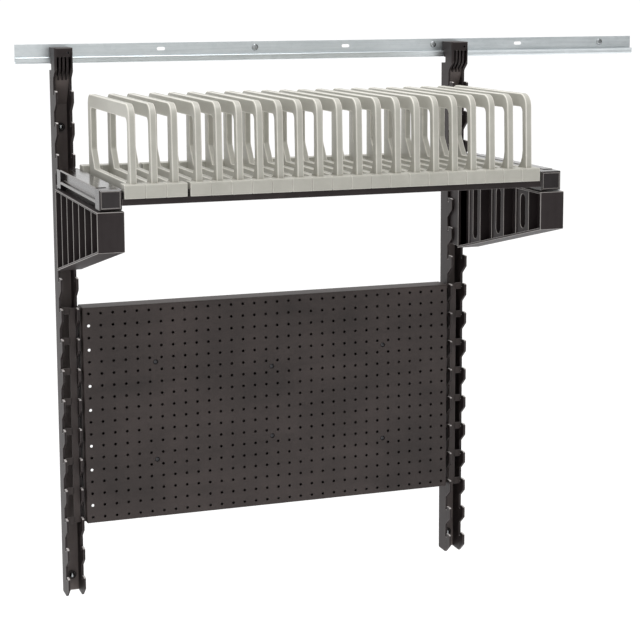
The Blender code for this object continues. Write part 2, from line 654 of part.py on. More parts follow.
def make_hoop_mesh():
    half = HOOP_THICKNESS / 2
    r = HOOP_CORNER
    outline = [(HOOP_REAR, BLOCK_TOP), (HOOP_REAR, RUNNER_BOTTOM)]
    outline += [(HOOP_FRONT_FOOT + 4.0 * MM, RUNNER_BOTTOM), (HOOP_FRONT_FOOT, BLOCK_TOP)]
    outline += [(HOOP_FRONT_TOP - 1.5 * MM, HOOP_TOP - r - 1.0 * MM)]
    outline += corner((HOOP_FRONT_TOP + r, HOOP_TOP - r - 1.0 * MM), r, 165, 90)
    outline += corner((HOOP_REAR - r, HOOP_TOP - r), r, 90, 0)
    hoop = prism("hoop", "X", outline, -half, half)
    rear = HOOP_REAR - HOOP_REAR_LEG
    front = HOOP_FRONT_TOP + HOOP_FRONT_LEG
    top = HOOP_TOP - HOOP_BAR
    opening = [(rear, BLOCK_TOP + 37.0 * MM), (rear - 27.0 * MM, BLOCK_TOP - 1.0 * MM)]
    opening += [(front + 16.0 * MM, BLOCK_TOP - 1.0 * MM), (front - 4.0 * MM, BLOCK_TOP + 24.0 * MM)]
    opening += corner((front + 10.0 * MM, top - 10.0 * MM), 10.0 * MM, 175, 90, 3)
    opening += corner((rear - 8.0 * MM, top - 8.0 * MM), 8.0 * MM, 90, 0, 3)
    cut(hoop, prism("opening", "X", opening, -2 * half, 2 * half))
    half = HOOP_BLOCK_WIDTH / 2
    for front in (True, False):
        y0 = BLOCK_FRONT if front else BLOCK_REAR - BLOCK_DEPTH
        y1 = y0 + BLOCK_DEPTH
        lead = 3.5 * MM if front else MM
        block = [
            (y0, BLOCK_BOTTOM),
            (y1, BLOCK_BOTTOM),
            (y1, BLOCK_TOP - MM),
            (y1 - MM, BLOCK_TOP),
            (y0 + lead, BLOCK_TOP),
            (y0 + 0.3 * lead, BLOCK_TOP - 0.35 * lead),
            (y0, BLOCK_TOP - lead),
        ]
        join(hoop, prism("block", "X", block, -half, half))
        u0, u1 = upstand_y(front)
        groove = ((u0 - 0.6 * MM, u1 + 0.6 * MM), (BLOCK_BOTTOM - MM, UPSTAND_TOP + 0.5 * MM))
        cut(hoop, box("groove", (-2 * half, 2 * half), *groove))
    return hoop


# Perforated panel: a front sheet with four folded edges.
def make_panel():
    half = PANEL_WIDTH / 2
    bottom = PANEL_TOP - PANEL_HEIGHT
    panel = box("peg_panel", (-half, half), (PANEL_FRONT, PANEL_REAR), (bottom, PANEL_TOP))
    inside = half - PANEL_SHEET
    hollow = ((PANEL_FRONT + PANEL_SHEET, PANEL_REAR + MM), (bottom + PANEL_SHEET, PANEL_TOP - PANEL_SHEET))
    cut(panel, box("hollow", (-inside, inside), *hollow))
    middle = (bottom + PANEL_TOP) / 2
    for column, drop in ((-1, PANEL_OUTER_HOLE_Z), (0, PANEL_MIDDLE_HOLE_Z), (1, PANEL_OUTER_HOLE_Z)):
        for z in (middle - drop, middle + drop):
            hole = disc((column * PANEL_OUTER_HOLE_X, z), PANEL_LARGE_HOLE, 12)
            cut(panel, prism("hole", "Y", hole, PANEL_FRONT - MM, PANEL_FRONT + 5 * MM))
    for side in (-1, 1):
        for z in rivet_levels():
            hole = disc((rivet_y(), z), RIVET_RADIUS + FIT, 12)
            reach = sorted((side * (inside - MM), side * (half + MM)))
            cut(panel, prism("hole", "X", hole, *reach))
    material(panel, (0.065, 0.06, 0.062), 0.5)


def make_panel_back():
    """The sheet that closes the tray, with a column of windows along its left side for hook ends."""
    half = PANEL_WIDTH / 2 - PANEL_SHEET - FIT
    low = PANEL_TOP - PANEL_HEIGHT + PANEL_SHEET + FIT
    front = PANEL_REAR - BACK_INSET - BACK_SHEET
    back = box("panel_back", (-half, half), (front, front + BACK_SHEET), (low, PANEL_TOP - PANEL_SHEET - FIT))
    for lug in hanger_lugs()[:-1]:
        z = lug - BACK_WINDOW_DROP
        wide = (3.0 * MM - half, 3.0 * MM + BACK_WINDOW_WIDE - half)
        tall = (z - BACK_WINDOW_TALL / 2, z + BACK_WINDOW_TALL / 2)
        cut(back, box("window", wide, (front - MM, front + 3 * MM), tall))
    material(back, (0.03, 0.028, 0.03), 0.6)


def hanger_lugs():
    """The tops of the lugs beside the panel, as far down as a hanger reaches."""
    lugs = [FIRST_LUG_Z - k * LUG_PITCH for k in range(PANEL_FIRST_LUG, LUG_COUNT)]
    return [lug for lug in lugs if lug - LUG_NOTCH_DEPTH > hanger_bottom()]


def hanger_bottom():
    return PANEL_TOP - PANEL_HEIGHT + 2.0 * MM


def rivet_levels():
    bottom = PANEL_TOP - PANEL_HEIGHT
    return PANEL_TOP - 60.0 * MM, bottom + 60.0 * MM


def rivet_y():
    return HANGER_FRONT + 16.0 * MM


def make_hanger(name, side):
    bottom = hanger_bottom()
    channel = UPRIGHT_SPACING / 2
    reach = UPRIGHT_WIDTH / 2 - UPRIGHT_WALL - 0.6 * MM
    y = (HANGER_FRONT, HANGER_FRONT + HANGER_SHEET)
    lugs = hanger_lugs()
    top = lugs[0] - LUG_NOTCH_DEPTH + FIT + HANGER_TAB

    def across(a, b):
        return tuple(sorted((side * a, side * b)))

    hanger = box(name, across(channel - reach, channel + reach), y, (bottom, top))
    leg_outer = PANEL_WIDTH / 2 + FIT + HANGER_SHEET
    leg = box("leg", across(PANEL_WIDTH / 2 + FIT, leg_outer), (y[0], y[0] + 24.0 * MM), (bottom, top - MM))
    tab_x = across(leg_outer - MM, channel - reach + MM)
    for lug in lugs:
        floor = lug - LUG_NOTCH_DEPTH + FIT
        join(hanger, box("tab", tab_x, y, (floor, floor + HANGER_TAB)))
    join(hanger, leg)
    for upper, lower in zip(lugs, lugs[1:]):
        window_top = upper - LUG_NOTCH_DEPTH - 4.0 * MM
        window_bottom = lower - LUG_NOTCH_DEPTH + FIT + HANGER_TAB + 2.0 * MM
        x = across(channel + reach - HANGER_WINDOW, channel + reach + MM)
        cut(hanger, box("window", x, (y[0] - MM, y[1] + MM), (window_bottom, window_top)))
    for z in rivet_levels():
        hole = disc((rivet_y(), z), RIVET_RADIUS + FIT, 12)
        cut(hanger, prism("hole", "X", hole, *across(PANEL_WIDTH / 2 - MM, leg_outer + MM)))
    material(hanger, (0.05, 0.045, 0.045), 0.45)


def make_rivet(name, side, z):
    inside = PANEL_WIDTH / 2 - PANEL_SHEET - FIT
    outside = PANEL_WIDTH / 2 + FIT + HANGER_SHEET + FIT

    def across(a, b):
        return tuple(sorted((side * a, side * b)))

    at = (rivet_y(), z)
    rivet = prism(name, "X", disc(at, RIVET_RADIUS, 12), *across(inside - MM, outside + 0.5 * MM))
    head = disc(at, RIVET_HEAD, 12)
    join(rivet, prism("head", "X", head, *across(inside - RIVET_HEAD_HEIGHT, inside)))
    join(rivet, prism("head", "X", head, *across(outside, outside + RIVET_HEAD_HEIGHT)))
    material(rivet, (0.3, 0.3, 0.31), 0.35, 1.0)


make_rail()
for side, word in ((-1, "left"), (1, "right")):
    make_upright(f"upright_{word}", side * UPRIGHT_SPACING / 2)
    make_lock_screw(f"lock_screw_{word}", side * UPRIGHT_SPACING / 2)
    make_bracket(f"bracket_{word}", side)
    make_side_beam(f"side_beam_{word}", side)
    make_cap(f"front_cap_{word}", side, True)
    make_cap(f"rear_cap_{word}", side, False)
    make_hanger(f"panel_hanger_{word}", side)
    for place, level in zip(("upper", "lower"), rivet_levels()):
        make_rivet(f"rivet_{word}_{place}", side, level)
make_cross_beam("front_beam", True)
make_cross_beam("rear_beam", False)
make_panel()
make_panel_back()

pattern = make_hoop_mesh()
for i, x in enumerate(hoop_centers()):
    hoop = bpy.data.objects.new(f"hoop_{i + 1:02d}", pattern.data.copy())
    hoop.location = (x, 0.0, 0.0)
    bpy.context.scene.collection.objects.link(hoop)
    material(hoop, (0.45, 0.44, 0.40), 0.45)
bpy.data.objects.remove(pattern, do_unlink=True)
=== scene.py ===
"""Wall-hung storage unit. A galvanised rail on the wall carries two moulded uprights. Ribbed brackets on
them hold a shelf frame of hoop dividers, and a perforated panel hangs below it. Sections follow the order
of assembly.
"""

from math import cos, radians, sin

import bmesh
import bpy
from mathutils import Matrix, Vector


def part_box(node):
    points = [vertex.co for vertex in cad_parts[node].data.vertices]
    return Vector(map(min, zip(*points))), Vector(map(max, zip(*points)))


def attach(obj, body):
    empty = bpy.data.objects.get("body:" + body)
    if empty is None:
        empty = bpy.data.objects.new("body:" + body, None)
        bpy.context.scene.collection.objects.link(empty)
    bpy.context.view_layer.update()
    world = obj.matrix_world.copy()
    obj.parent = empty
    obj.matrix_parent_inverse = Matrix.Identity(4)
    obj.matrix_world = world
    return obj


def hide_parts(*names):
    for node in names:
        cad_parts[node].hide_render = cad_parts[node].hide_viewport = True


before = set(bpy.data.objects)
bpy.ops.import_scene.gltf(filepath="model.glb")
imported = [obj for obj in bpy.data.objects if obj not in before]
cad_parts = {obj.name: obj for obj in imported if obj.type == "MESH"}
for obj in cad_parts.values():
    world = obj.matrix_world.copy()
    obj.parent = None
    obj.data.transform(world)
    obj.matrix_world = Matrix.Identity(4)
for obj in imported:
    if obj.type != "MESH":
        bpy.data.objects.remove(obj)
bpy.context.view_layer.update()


# ------------------------------------------------------------------------------------------------------------
# Wall rail. A strip of galvanised sheet, folded along its lower edge into a gutter whose lip is rolled over
# into a hem. Round holes for screws alternate with slots along one line. It is screwed to the wall and
# carries everything.
MM = 0.001


class NodeWork:
    """A node tree, and the one way in which nodes are added to it."""

    def __init__(self, tree):
        self.tree = tree

    def node(self, kind, settings, values, output=0):
        """Adds a node: settings first, a ramp's stops among them, then the values or links of its sockets."""
        made = self.tree.nodes.new(kind)
        for key, setting in settings.items():
            if key == "stops":
                ramp = made.color_ramp
                for stop, (place, color) in zip((ramp.elements[0], ramp.elements[-1]), setting):
                    stop.position = place
                    stop.color = color
            else:
                setattr(made, key, setting)
        for key, value in values.items():
            self.feed(made.inputs[key], value)
        return Link(self, made.outputs[output])

    def feed(self, socket, value):
        if isinstance(value, Link):
            self.tree.links.new(value.socket, socket)
        else:
            socket.default_value = value


class Link:
    """A value that runs between nodes. Arithmetic on it adds Math nodes."""

    def __init__(self, work, socket):
        self.work = work
        self.socket = socket

    def math(self, operation, first, second):
        return self.work.node("ShaderNodeMath", {"operation": operation}, {0: first, 1: second})

    def __add__(self, other):
        return self.math("ADD", self, other)

    __radd__ = __add__

    def __sub__(self, other):
        return self.math("SUBTRACT", self, other)

    def __rsub__(self, other):
        return self.math("SUBTRACT", other, self)

    def __mul__(self, other):
        return self.math("MULTIPLY", self, other)

    __rmul__ = __mul__


class Finish(NodeWork):
    """A material of the object: its surface shader and the patterns that feed it."""

    def __init__(self, name):
        self.material = bpy.data.materials.new(name)
        self.material.use_nodes = True
        super().__init__(self.material.node_tree)
        self.surface = self.tree.nodes["Principled BSDF"]
        self.place = self.node("ShaderNodeTexCoord", {}, {}, "Object")

    def set(self, **values):
        for label, value in values.items():
            self.feed(self.surface.inputs[label.replace("_", " ")], value)

    def noise(self, scale, detail=4.0, stretch=(1.0, 1.0, 1.0)):
        place = self.node("ShaderNodeMapping", {}, {"Vector": self.place, "Scale": stretch})
        values = {"Vector": place, "Scale": scale, "Detail": detail, "Roughness": 0.6}
        return self.node("ShaderNodeTexNoise", {}, values)

    def blend(self, share, first, second):
        return self.node("ShaderNodeMix", {"data_type": "RGBA"}, {0: share, 6: first, 7: second}, 2)

    def ramp(self, value, low, high):
        stops = [(low, (0.0, 0.0, 0.0, 1.0)), (high, (1.0, 1.0, 1.0, 1.0))]
        return self.node("ShaderNodeValToRGB", {"stops": stops}, {"Fac": value})

    def relief(self, height, distance, strength=1.0):
        values = {"Height": height, "Distance": distance, "Strength": strength}
        self.set(Normal=self.node("ShaderNodeBump", {}, values))


def galvanised_finish():
    """Hot-dip zinc: faint angular spangle, rolling streaks along the sheet and a few dull patches."""
    zinc = Finish("galvanised_sheet")
    spread = zinc.node("ShaderNodeMapping", {}, {"Vector": zinc.place, "Scale": (1.0, 1.0, 1.6)})
    spangle = zinc.node("ShaderNodeTexVoronoi", {}, {"Vector": spread, "Scale": 95.0}, "Color")
    grain = zinc.node("ShaderNodeRGBToBW", {}, {"Color": spangle})
    streak = zinc.noise(6.0, 6.0, (1.0, 30.0, 30.0))
    patch = zinc.noise(5.0, 3.0)
    tone = 0.10 * grain + 0.60 * streak + 0.40 * patch
    dull, bright = (0.58, 0.635, 0.655, 1.0), (0.86, 0.905, 0.925, 1.0)
    zinc.set(Base_Color=zinc.blend(zinc.ramp(tone, 0.30, 0.80), dull, bright))
    zinc.set(Metallic=0.95, Roughness=0.24 + 0.04 * grain + 0.16 * streak)
    zinc.relief(0.2 * grain + streak, 0.05 * MM, 0.4)
    return zinc


class Pattern(NodeWork):
    """A geometry node tree with named inputs, which repeats a part over a grid of points."""

    def __init__(self, name, inputs):
        super().__init__(bpy.data.node_groups.new(name, "GeometryNodeTree"))
        sockets = self.tree.interface
        sockets.new_socket("Piece", in_out="INPUT", socket_type="NodeSocketGeometry")
        for label, kind in inputs:
            sockets.new_socket(label, in_out="INPUT", socket_type="NodeSocket" + kind)
        sockets.new_socket("Made", in_out="OUTPUT", socket_type="NodeSocketGeometry")
        self.given = self.tree.nodes.new("NodeGroupInput")
        self.made = self.tree.nodes.new("NodeGroupOutput")

    def input(self, label):
        return Link(self, self.given.outputs[label])

    def end(self, geometry):
        """Realises the instances and gives the whole piece its finish."""
        real = self.node("GeometryNodeRealizeInstances", {}, {"Geometry": geometry})
        self.feed(self.made.inputs[0], self.node(
            "GeometryNodeSetMaterial", {}, {"Geometry": real, "Material": self.input("Finish")}))

    def run(self, piece, **values):
        step = piece.modifiers.new(self.tree.name, "NODES")
        step.node_group = self.tree
        for item in self.tree.interface.items_tree:
            if item.in_out == "INPUT" and item.name.replace(" ", "_") in values:
                step[item.identifier] = values[item.name.replace(" ", "_")]
        settle(piece)


def settle(piece):
    """Replaces a piece's mesh with what its modifiers make of it."""
    bpy.context.view_layer.update()
    graph = bpy.context.evaluated_depsgraph_get()
    mesh = bpy.data.meshes.new_from_object(piece.evaluated_get(graph))
    piece.modifiers.clear()
    piece.data = mesh


def grid_pattern(name, cuts):
    """Copies of a part on a grid of columns and rows, which are cut out of the piece or added to it."""
    inputs = [("Part", "Object"), ("Start", "Vector"), ("Columns", "Int"), ("Column Step", "Vector")]
    inputs += [("Rows", "Int"), ("Row Step", "Vector"), ("Finish", "Material")]
    work = Pattern(name, inputs)
    line = {"mode": "OFFSET", "count_mode": "TOTAL"}
    columns = work.node("GeometryNodeMeshLine", line, {
        "Count": work.input("Columns"), "Start Location": work.input("Start"),
        "Offset": work.input("Column Step")})
    rows = work.node("GeometryNodeMeshLine", line, {
        "Count": work.input("Rows"), "Offset": work.input("Row Step")})
    points = work.node("GeometryNodeInstanceOnPoints", {}, {"Points": columns, "Instance": rows})
    points = work.node("GeometryNodeRealizeInstances", {}, {"Geometry": points})
    part = work.node("GeometryNodeObjectInfo", {}, {"Object": work.input("Part")}, "Geometry")
    copies = work.node("GeometryNodeInstanceOnPoints", {}, {"Points": points, "Instance": part})
    if cuts:
        cut = work.node("GeometryNodeMeshBoolean", {"operation": "DIFFERENCE", "solver": "EXACT"}, {
            "Mesh 1": work.input("Piece"), "Mesh 2": copies})
        work.end(cut)
    else:
        both = work.tree.nodes.new("GeometryNodeJoinGeometry")
        work.tree.links.new(work.input("Piece").socket, both.inputs[0])
        work.tree.links.new(copies.socket, both.inputs[0])
        work.end(Link(work, both.outputs[0]))
    return work


cut_grid = grid_pattern("cut_on_a_grid", True)
add_grid = grid_pattern("set_on_a_grid", False)


def place(axis, level, u, v):
    return {"X": (level, u, v), "Y": (u, level, v), "Z": (u, v, level)}[axis]


def add_prism(shape, axis, outline, low, high, holes=()):
    """Adds a closed plate to shape: outline and holes lie in the two other axes, in millimetres."""
    loops = []
    edges = []
    for loop in (outline, *holes):
        verts = [shape.verts.new([c * MM for c in place(axis, low, u, v)]) for u, v in loop]
        loops.append(verts)
        edges += [shape.edges.new((a, b)) for a, b in zip(verts, verts[1:] + verts[:1])]
    if holes:
        bottom = bmesh.ops.triangle_fill(shape, use_beauty=True, edges=edges)["geom"]
        bottom = [item for item in bottom if isinstance(item, bmesh.types.BMFace)]
    else:
        bottom = [shape.faces.new(loops[0])]
    grown = bmesh.ops.extrude_face_region(shape, geom=bottom, use_keep_orig=True)["geom"]
    step = Vector(place(axis, (high - low) * MM, 0.0, 0.0))
    verts = [item for item in grown if isinstance(item, bmesh.types.BMVert)]
    bmesh.ops.translate(shape, vec=step, verts=verts)
    faces = set(bottom)
    for vert in verts + [vert for loop in loops for vert in loop]:
        faces.update(vert.link_faces)
    bmesh.ops.recalc_face_normals(shape, faces=list(faces))


def add_box(shape, x, y, z):
    add_prism(shape, "Z", [(x[0], y[0]), (x[1], y[0]), (x[1], y[1]), (x[0], y[1])], z[0], z[1])


def arc(center, radius, start, end, steps=6):
    turns = [radians(start + (end - start) * i / steps) for i in range(steps + 1)]
    return [(center[0] + radius * cos(t), center[1] + radius * sin(t)) for t in turns]


def circle(center, radius, steps=24):
    return arc(center, radius, 180 / steps, 360 + 180 / steps, steps)[:-1]


def temporary(shape):
    """An object to work on, made of shape, which is used up."""
    mesh = bpy.data.meshes.new("work")
    shape.to_mesh(mesh)
    shape.free()
    piece = bpy.data.objects.new("work", mesh)
    bpy.context.scene.collection.objects.link(piece)
    return piece


def painted(mesh, finish=0):
    """Gives every face of a mesh the same one of its piece's finishes."""
    for face in mesh.polygons:
        face.material_index = finish
    return mesh


def finished(piece):
    """Takes the mesh of a working object and drops the object."""
    mesh = piece.data
    bpy.data.objects.remove(piece, do_unlink=True)
    return mesh


def rounded(piece, width, steps=2, angle=30.0, edge=-1):
    """Rounds a working object's edges. Their faces can take the piece's second finish, a painted edge
    highlight.
    """
    painted(piece.data)
    while len(piece.data.materials) <= edge:
        piece.data.materials.append(None)
    bevel = piece.modifiers.new("rounded", "BEVEL")
    bevel.width = width * MM
    bevel.segments = steps
    bevel.limit_method = "ANGLE"
    bevel.angle_limit = radians(angle)
    bevel.use_clamp_overlap = False
    bevel.miter_outer = "MITER_ARC"
    bevel.material = edge
    settle(piece)
    return finished(piece)


def cut_by(piece, cutter, operation="DIFFERENCE"):
    step = piece.modifiers.new("cut", "BOOLEAN")
    step.operation = operation
    step.use_self = True
    step.solver = "EXACT"
    step.object = cutter
    settle(piece)
    bpy.data.objects.remove(cutter, do_unlink=True)


def whole_piece(name, meshes, finishes, body, nodes, offset=(0.0, 0.0, 0.0)):
    """Joins meshes into one piece that stands for CAD nodes and moves with their body."""
    shape = bmesh.new()
    for mesh in meshes:
        shape.from_mesh(mesh)
    bmesh.ops.translate(shape, vec=Vector(offset) * MM, verts=shape.verts)
    piece = temporary(shape)
    piece.name = name
    piece.data.name = name
    for finish in finishes:
        piece.data.materials.append(finish.material)
    piece.data.shade_smooth()
    piece.data.set_sharp_from_angle(angle=radians(38))
    even = piece.modifiers.new("even", "WEIGHTED_NORMAL")
    even.keep_sharp = True
    settle(piece)
    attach(piece, body)
    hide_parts(*nodes)
    return piece


zinc_sheet = galvanised_finish()
rail_low, rail_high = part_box("wall_rail")
RAIL_HOLE_Z = 16.5
RAIL_HOLE_PITCH = 203.2
RAIL_FIRST_SCREW = -421.0

rail_section = [(0.0, 28.8), (0.0, -6.5)] + arc((-3.5, -6.5), 3.5, 360, 270, 5)[1:]
rail_section += arc((-7.5, -6.5), 3.5, 270, 180, 5) + [(-11.0, -0.6)]
rail_section += arc((-10.1, 1.1), 1.7, 200, 0, 10)
rail_section += [(-9.0, 0.2), (-9.0, -6.5)] + arc((-7.5, -6.5), 1.5, 180, 270, 4)[1:]
rail_section += arc((-3.5, -6.5), 1.5, 270, 360, 4) + [(-2.0, 28.8), (-1.7, 29.0), (-0.3, 29.0)]
shape = bmesh.new()
add_prism(shape, "X", rail_section, rail_low[0] / MM, rail_high[0] / MM)
rail = temporary(shape)
for is_slot in (False, True):
    shape = bmesh.new()
    if is_slot:
        hole = arc((5.5, 0.0), 3.5, -90, 90) + arc((-5.5, 0.0), 3.5, 90, 270)
    else:
        hole = circle((0.0, 0.0), 2.9, 20)
    add_prism(shape, "Y", hole, -4.0, 2.0)
    punch = temporary(shape)
    first = RAIL_FIRST_SCREW + is_slot * RAIL_HOLE_PITCH
    cut_grid.run(rail, Part=punch, Start=(first * MM, 0.0, RAIL_HOLE_Z * MM), Columns=4 - is_slot,
                 Column_Step=(2 * RAIL_HOLE_PITCH * MM, 0.0, 0.0), Rows=1, Finish=zinc_sheet.material)
    bpy.data.objects.remove(punch, do_unlink=True)
whole_piece("rail_sheet", [painted(finished(rail))], [zinc_sheet], "wall", ["wall_rail"])


# ------------------------------------------------------------------------------------------------------------
# Rail screws. Low-headed zinc-plated screws with a cross recess, driven through the round holes into the
# wall. The heads are thin enough for an upright's head to slide over them.
def add_turned(shape, center, profile, steps=28):
    """Adds a closed turned body about an axis along Y: profile is (y, radius) pairs from front to back."""
    rings = []
    for y, radius in profile:
        rings.append([shape.verts.new((u * MM, y * MM, v * MM)) for u, v in circle(center, radius, steps)])
    faces = [shape.faces.new(rings[0]), shape.faces.new(rings[-1])]
    for front, back in zip(rings, rings[1:]):
        for i in range(steps):
            j = (i + 1) % steps
            faces.append(shape.faces.new((front[i], front[j], back[j], back[i])))
    bmesh.ops.recalc_face_normals(shape, faces=faces)


def zinc_plate_finish():
    """Bright zinc plate with a slight handling haze, which also gives it a fine bump."""
    plate = Finish("zinc_plate")
    haze = plate.noise(180.0, 3.0)
    plate.set(Base_Color=plate.blend(haze, (0.34, 0.36, 0.37, 1.0), (0.50, 0.52, 0.53, 1.0)))
    plate.set(Metallic=1.0, Roughness=0.16 + 0.18 * haze)
    plate.relief(haze, 0.03 * MM, 0.5)
    return plate


def cross_screw(profile, reach, width, depth):
    """One screw on the axis, with a cross recess pressed into its head."""
    shape = bmesh.new()
    add_turned(shape, (0.0, 0.0), profile)
    screw = temporary(shape)
    front = profile[0][0]
    for wide, tall in ((reach, width), (width, reach)):
        shape = bmesh.new()
        add_box(shape, (-wide / 2, wide / 2), (front - 1.0, front + depth), (-tall / 2, tall / 2))
        cut_by(screw, temporary(shape))
    return screw


zinc_plate = zinc_plate_finish()
rail_screw = [(-4.7, 3.0), (-4.6, 4.6), (-4.2, 5.9), (-3.6, 6.7), (-2.9, 7.0), (-2.3, 7.0), (-2.3, 2.6),
              (-0.2, 2.6)]
screw = cross_screw(rail_screw, 6.6, 1.3, 1.4)
screws = temporary(bmesh.new())
add_grid.run(screws, Part=screw, Start=(RAIL_FIRST_SCREW * MM, 0.0, RAIL_HOLE_Z * MM), Columns=4,
             Column_Step=(2 * RAIL_HOLE_PITCH * MM, 0.0, 0.0), Rows=1, Finish=zinc_plate.material)
bpy.data.objects.remove(screw, do_unlink=True)
whole_piece("rail_screws", [painted(finished(screws))], [zinc_plate], "wall",
            [f"rail_screw_{i}" for i in (1, 2, 3, 4)])


# ------------------------------------------------------------------------------------------------------------
# Uprights. Each is one moulding in black polymer: a head whose hook drops into the gutter of the rail, then a
# channel with its web on the wall and lugs along both flanges, with a painted highlight on the lug tops. The
# web and the slope under the head are painted lighter, as painted light in the channel, and the edges carry a
# painted highlight. Grooves in the head end in an S-bend.
def polymer_finish(name, dark, light, rough, grain=0.05, gloss=0.35):
    """Moulded polymer: slight flow mottling, fine mould texture and faint vertical rub marks."""
    polymer = Finish(name)
    polymer.surface.inputs["Specular IOR Level"].default_value = gloss
    mottle = polymer.noise(14.0, 5.0)
    rub = polymer.noise(60.0, 4.0, (1.0, 1.0, 0.12))
    texture = polymer.noise(1400.0, 2.0)
    tone = polymer.ramp(0.6 * mottle + 0.4 * rub, 0.36, 0.66)
    polymer.set(Base_Color=polymer.blend(tone, dark, light))
    polymer.set(Roughness=rough + 0.10 * mottle + 0.08 * rub)
    polymer.relief(texture + 0.5 * rub, grain * MM, 0.35)
    return polymer


black_polymer = polymer_finish("black_polymer", (0.014, 0.0095, 0.0095, 1.0), (0.026, 0.019, 0.019, 1.0),
                               0.40, 0.05, 0.28)
# A lighter copy of the black polymer for the web and the slope under the head: painted light in the channel.
lit_web_polymer = polymer_finish("black_polymer_web", (0.115, 0.094, 0.088, 1.0), (0.165, 0.138, 0.130, 1.0),
                                 0.5)
# A light copy of the black polymer for the lug tops: a painted highlight on the faces turned up.
top_highlight_polymer = polymer_finish("black_polymer_worn", (0.52, 0.49, 0.475, 1.0), (0.70, 0.665, 0.65, 1.0), 0.34)
# A lighter copy of the black polymer that the bevels of the mouldings take: a painted highlight along their
# edges.
edge_highlight_polymer = polymer_finish("black_polymer_edge", (0.060, 0.051, 0.049, 1.0), (0.10, 0.087, 0.084, 1.0),
                                0.36)
UPRIGHT_X = 431.8
UPRIGHT_HALF = 19.0
UPRIGHT_WALL = 5.0
LUG_PITCH = 63.5
LUG_COUNT = 17
FIRST_LUG_Z = -63.2
HEAD_TOP = 23.0
LOCK_X = 9.0
LOCK_Z = 13.0
WEB_SCREW_Z = (-139.0, -1088.0)

hook_back = [(-5.0, HEAD_TOP), (-5.0, -6.0), (-6.0, -7.0), (-7.8, -7.0), (-8.6, -6.2), (-8.6, 3.6),
             (-14.0, 3.6)]
hook_back += [(-14.0, -10.5), (-21.0, -10.5), (-21.0, -21.0), (-19.0, -23.0), (0.0, -23.0)]
s_bend = [(-38.0, -43.0), (-38.6, -40.0), (-40.5, -37.2), (-57.0, -23.0), (-59.2, -20.0), (-60.0, -16.5)]
front_edge = s_bend + [(-60.0, 19.0), (-59.2, 21.8), (-57.0, HEAD_TOP)]

upright_parts = []
lug_shape = bmesh.new()
lug = [(-36.0, -44.2), (-38.0, -42.5), (-59.0, -25.2), (-60.0, -23.0), (-60.0, -2.2), (-57.8, 0.0),
       (-43.6, 0.0)]
lug += [(-43.6, -9.0), (-36.0, -9.0)]
for side in (-1, 1):
    outer = side * (UPRIGHT_HALF - 0.2)
    inner = side * (UPRIGHT_HALF - UPRIGHT_WALL + 0.2)
    add_prism(lug_shape, "X", lug, min(inner, outer), max(inner, outer))
lug_row = temporary(bmesh.new())
lug_pair = temporary(lug_shape)
add_grid.run(lug_row, Part=lug_pair, Start=(0.0, 0.0, FIRST_LUG_Z * MM), Columns=1, Rows=LUG_COUNT,
             Row_Step=(0.0, 0.0, -LUG_PITCH * MM), Finish=black_polymer.material)
bpy.data.objects.remove(lug_pair, do_unlink=True)
lugs = rounded(lug_row, 0.7, 2, 30, 1)
# Faces turned upwards take the light finish: a painted highlight on the lug tops.
for face in lugs.polygons:
    if face.normal.z > 0.6:
        face.material_index = 3
upright_parts.append(lugs)

web = bmesh.new()
screw_holes = [circle((0.0, z), 3.2, 20) for z in WEB_SCREW_Z]
web_edge = [(-14.5, -1122.0), (14.5, -1122.0), (14.5, -27.0), (-14.5, -27.0)]
add_prism(web, "Y", web_edge, -4.0, 0.0, screw_holes)
# The web takes the third finish, painted light in the channel.
upright_parts.append(painted(finished(temporary(web)), 2))
bosses = bmesh.new()
for z in WEB_SCREW_Z:
    add_prism(bosses, "Y", circle((0.0, z), 9.4), -7.0, -3.5, [circle((0.0, z), 5.8, 24)])
upright_parts.append(rounded(temporary(bosses), 0.5, 2, 30, 1))
slope = bmesh.new()
add_prism(slope, "X", [(-3.0, -30.0), (-3.0, -92.0), (-4.6, -92.0), (-34.0, -45.0), (-34.0, -30.0)],
          -14.3, 14.3)
# The slope takes the same painted light as the web.
upright_parts.append(painted(finished(temporary(slope)), 2))

head = bmesh.new()
core = hook_back + [(0.0, -44.0), (-20.0, -42.0), (-30.0, -38.0), (-34.0, -26.0), (-34.0, HEAD_TOP)]
add_prism(head, "X", core, -14.5, 14.5)
for side in (-1, 1):
    outer = side * UPRIGHT_HALF
    inner = side * (UPRIGHT_HALF - UPRIGHT_WALL)
    cheek = hook_back + [(0.0, -1121.0), (-2.0, -1123.0), (-36.0, -1123.0), (-38.0, -1121.0)] + front_edge
    add_prism(head, "X", cheek, min(inner, outer), max(inner, outer))
cap = [(-5.0, HEAD_TOP), (-5.0, 4.5), (-60.0, 4.5), (-60.0, 19.0), (-59.2, 21.8), (-57.0, HEAD_TOP)]
add_prism(head, "X", cap, -14.5, 14.5)
for x in (-7.8, 0.0, 7.8):
    rib = [(-30.0, 6.0), (-30.0, -30.0), (-22.0, -36.0), (-22.0, -44.0), (-35.0, -43.0), (-38.0, -38.0)]
    rib += [(-54.5, -23.0), (-57.0, -16.0), (-58.0, 6.0)]
    add_prism(head, "X", rib, x - 1.9, x + 1.9)
head = temporary(head)
bore = bmesh.new()
add_prism(bore, "Y", circle((LOCK_X, LOCK_Z), 2.6), -62.0, 0.0)
plan = bmesh.new()
round_plan = [(-19.0, 5.0), (-19.0, -53.0)] + arc((-12.5, -53.5), 6.5, 180, 270, 6)
round_plan += arc((12.5, -53.5), 6.5, 270, 360, 6) + [(19.0, -53.0), (19.0, 5.0)]
add_prism(plan, "Z", round_plan, -1130.0, 30.0)
cut_by(head, temporary(bore))
cut_by(head, temporary(plan), "INTERSECT")
upright_parts.append(rounded(head, 0.45, 2, 32, 1))

for word, side in (("left", -1), ("right", 1)):
    whole_piece(f"upright_{word}_moulding", upright_parts,
                [black_polymer, edge_highlight_polymer, lit_web_polymer, top_highlight_polymer],
                "uprights", [f"upright_{word}"], (side * UPRIGHT_X, 0.0, 0.0))


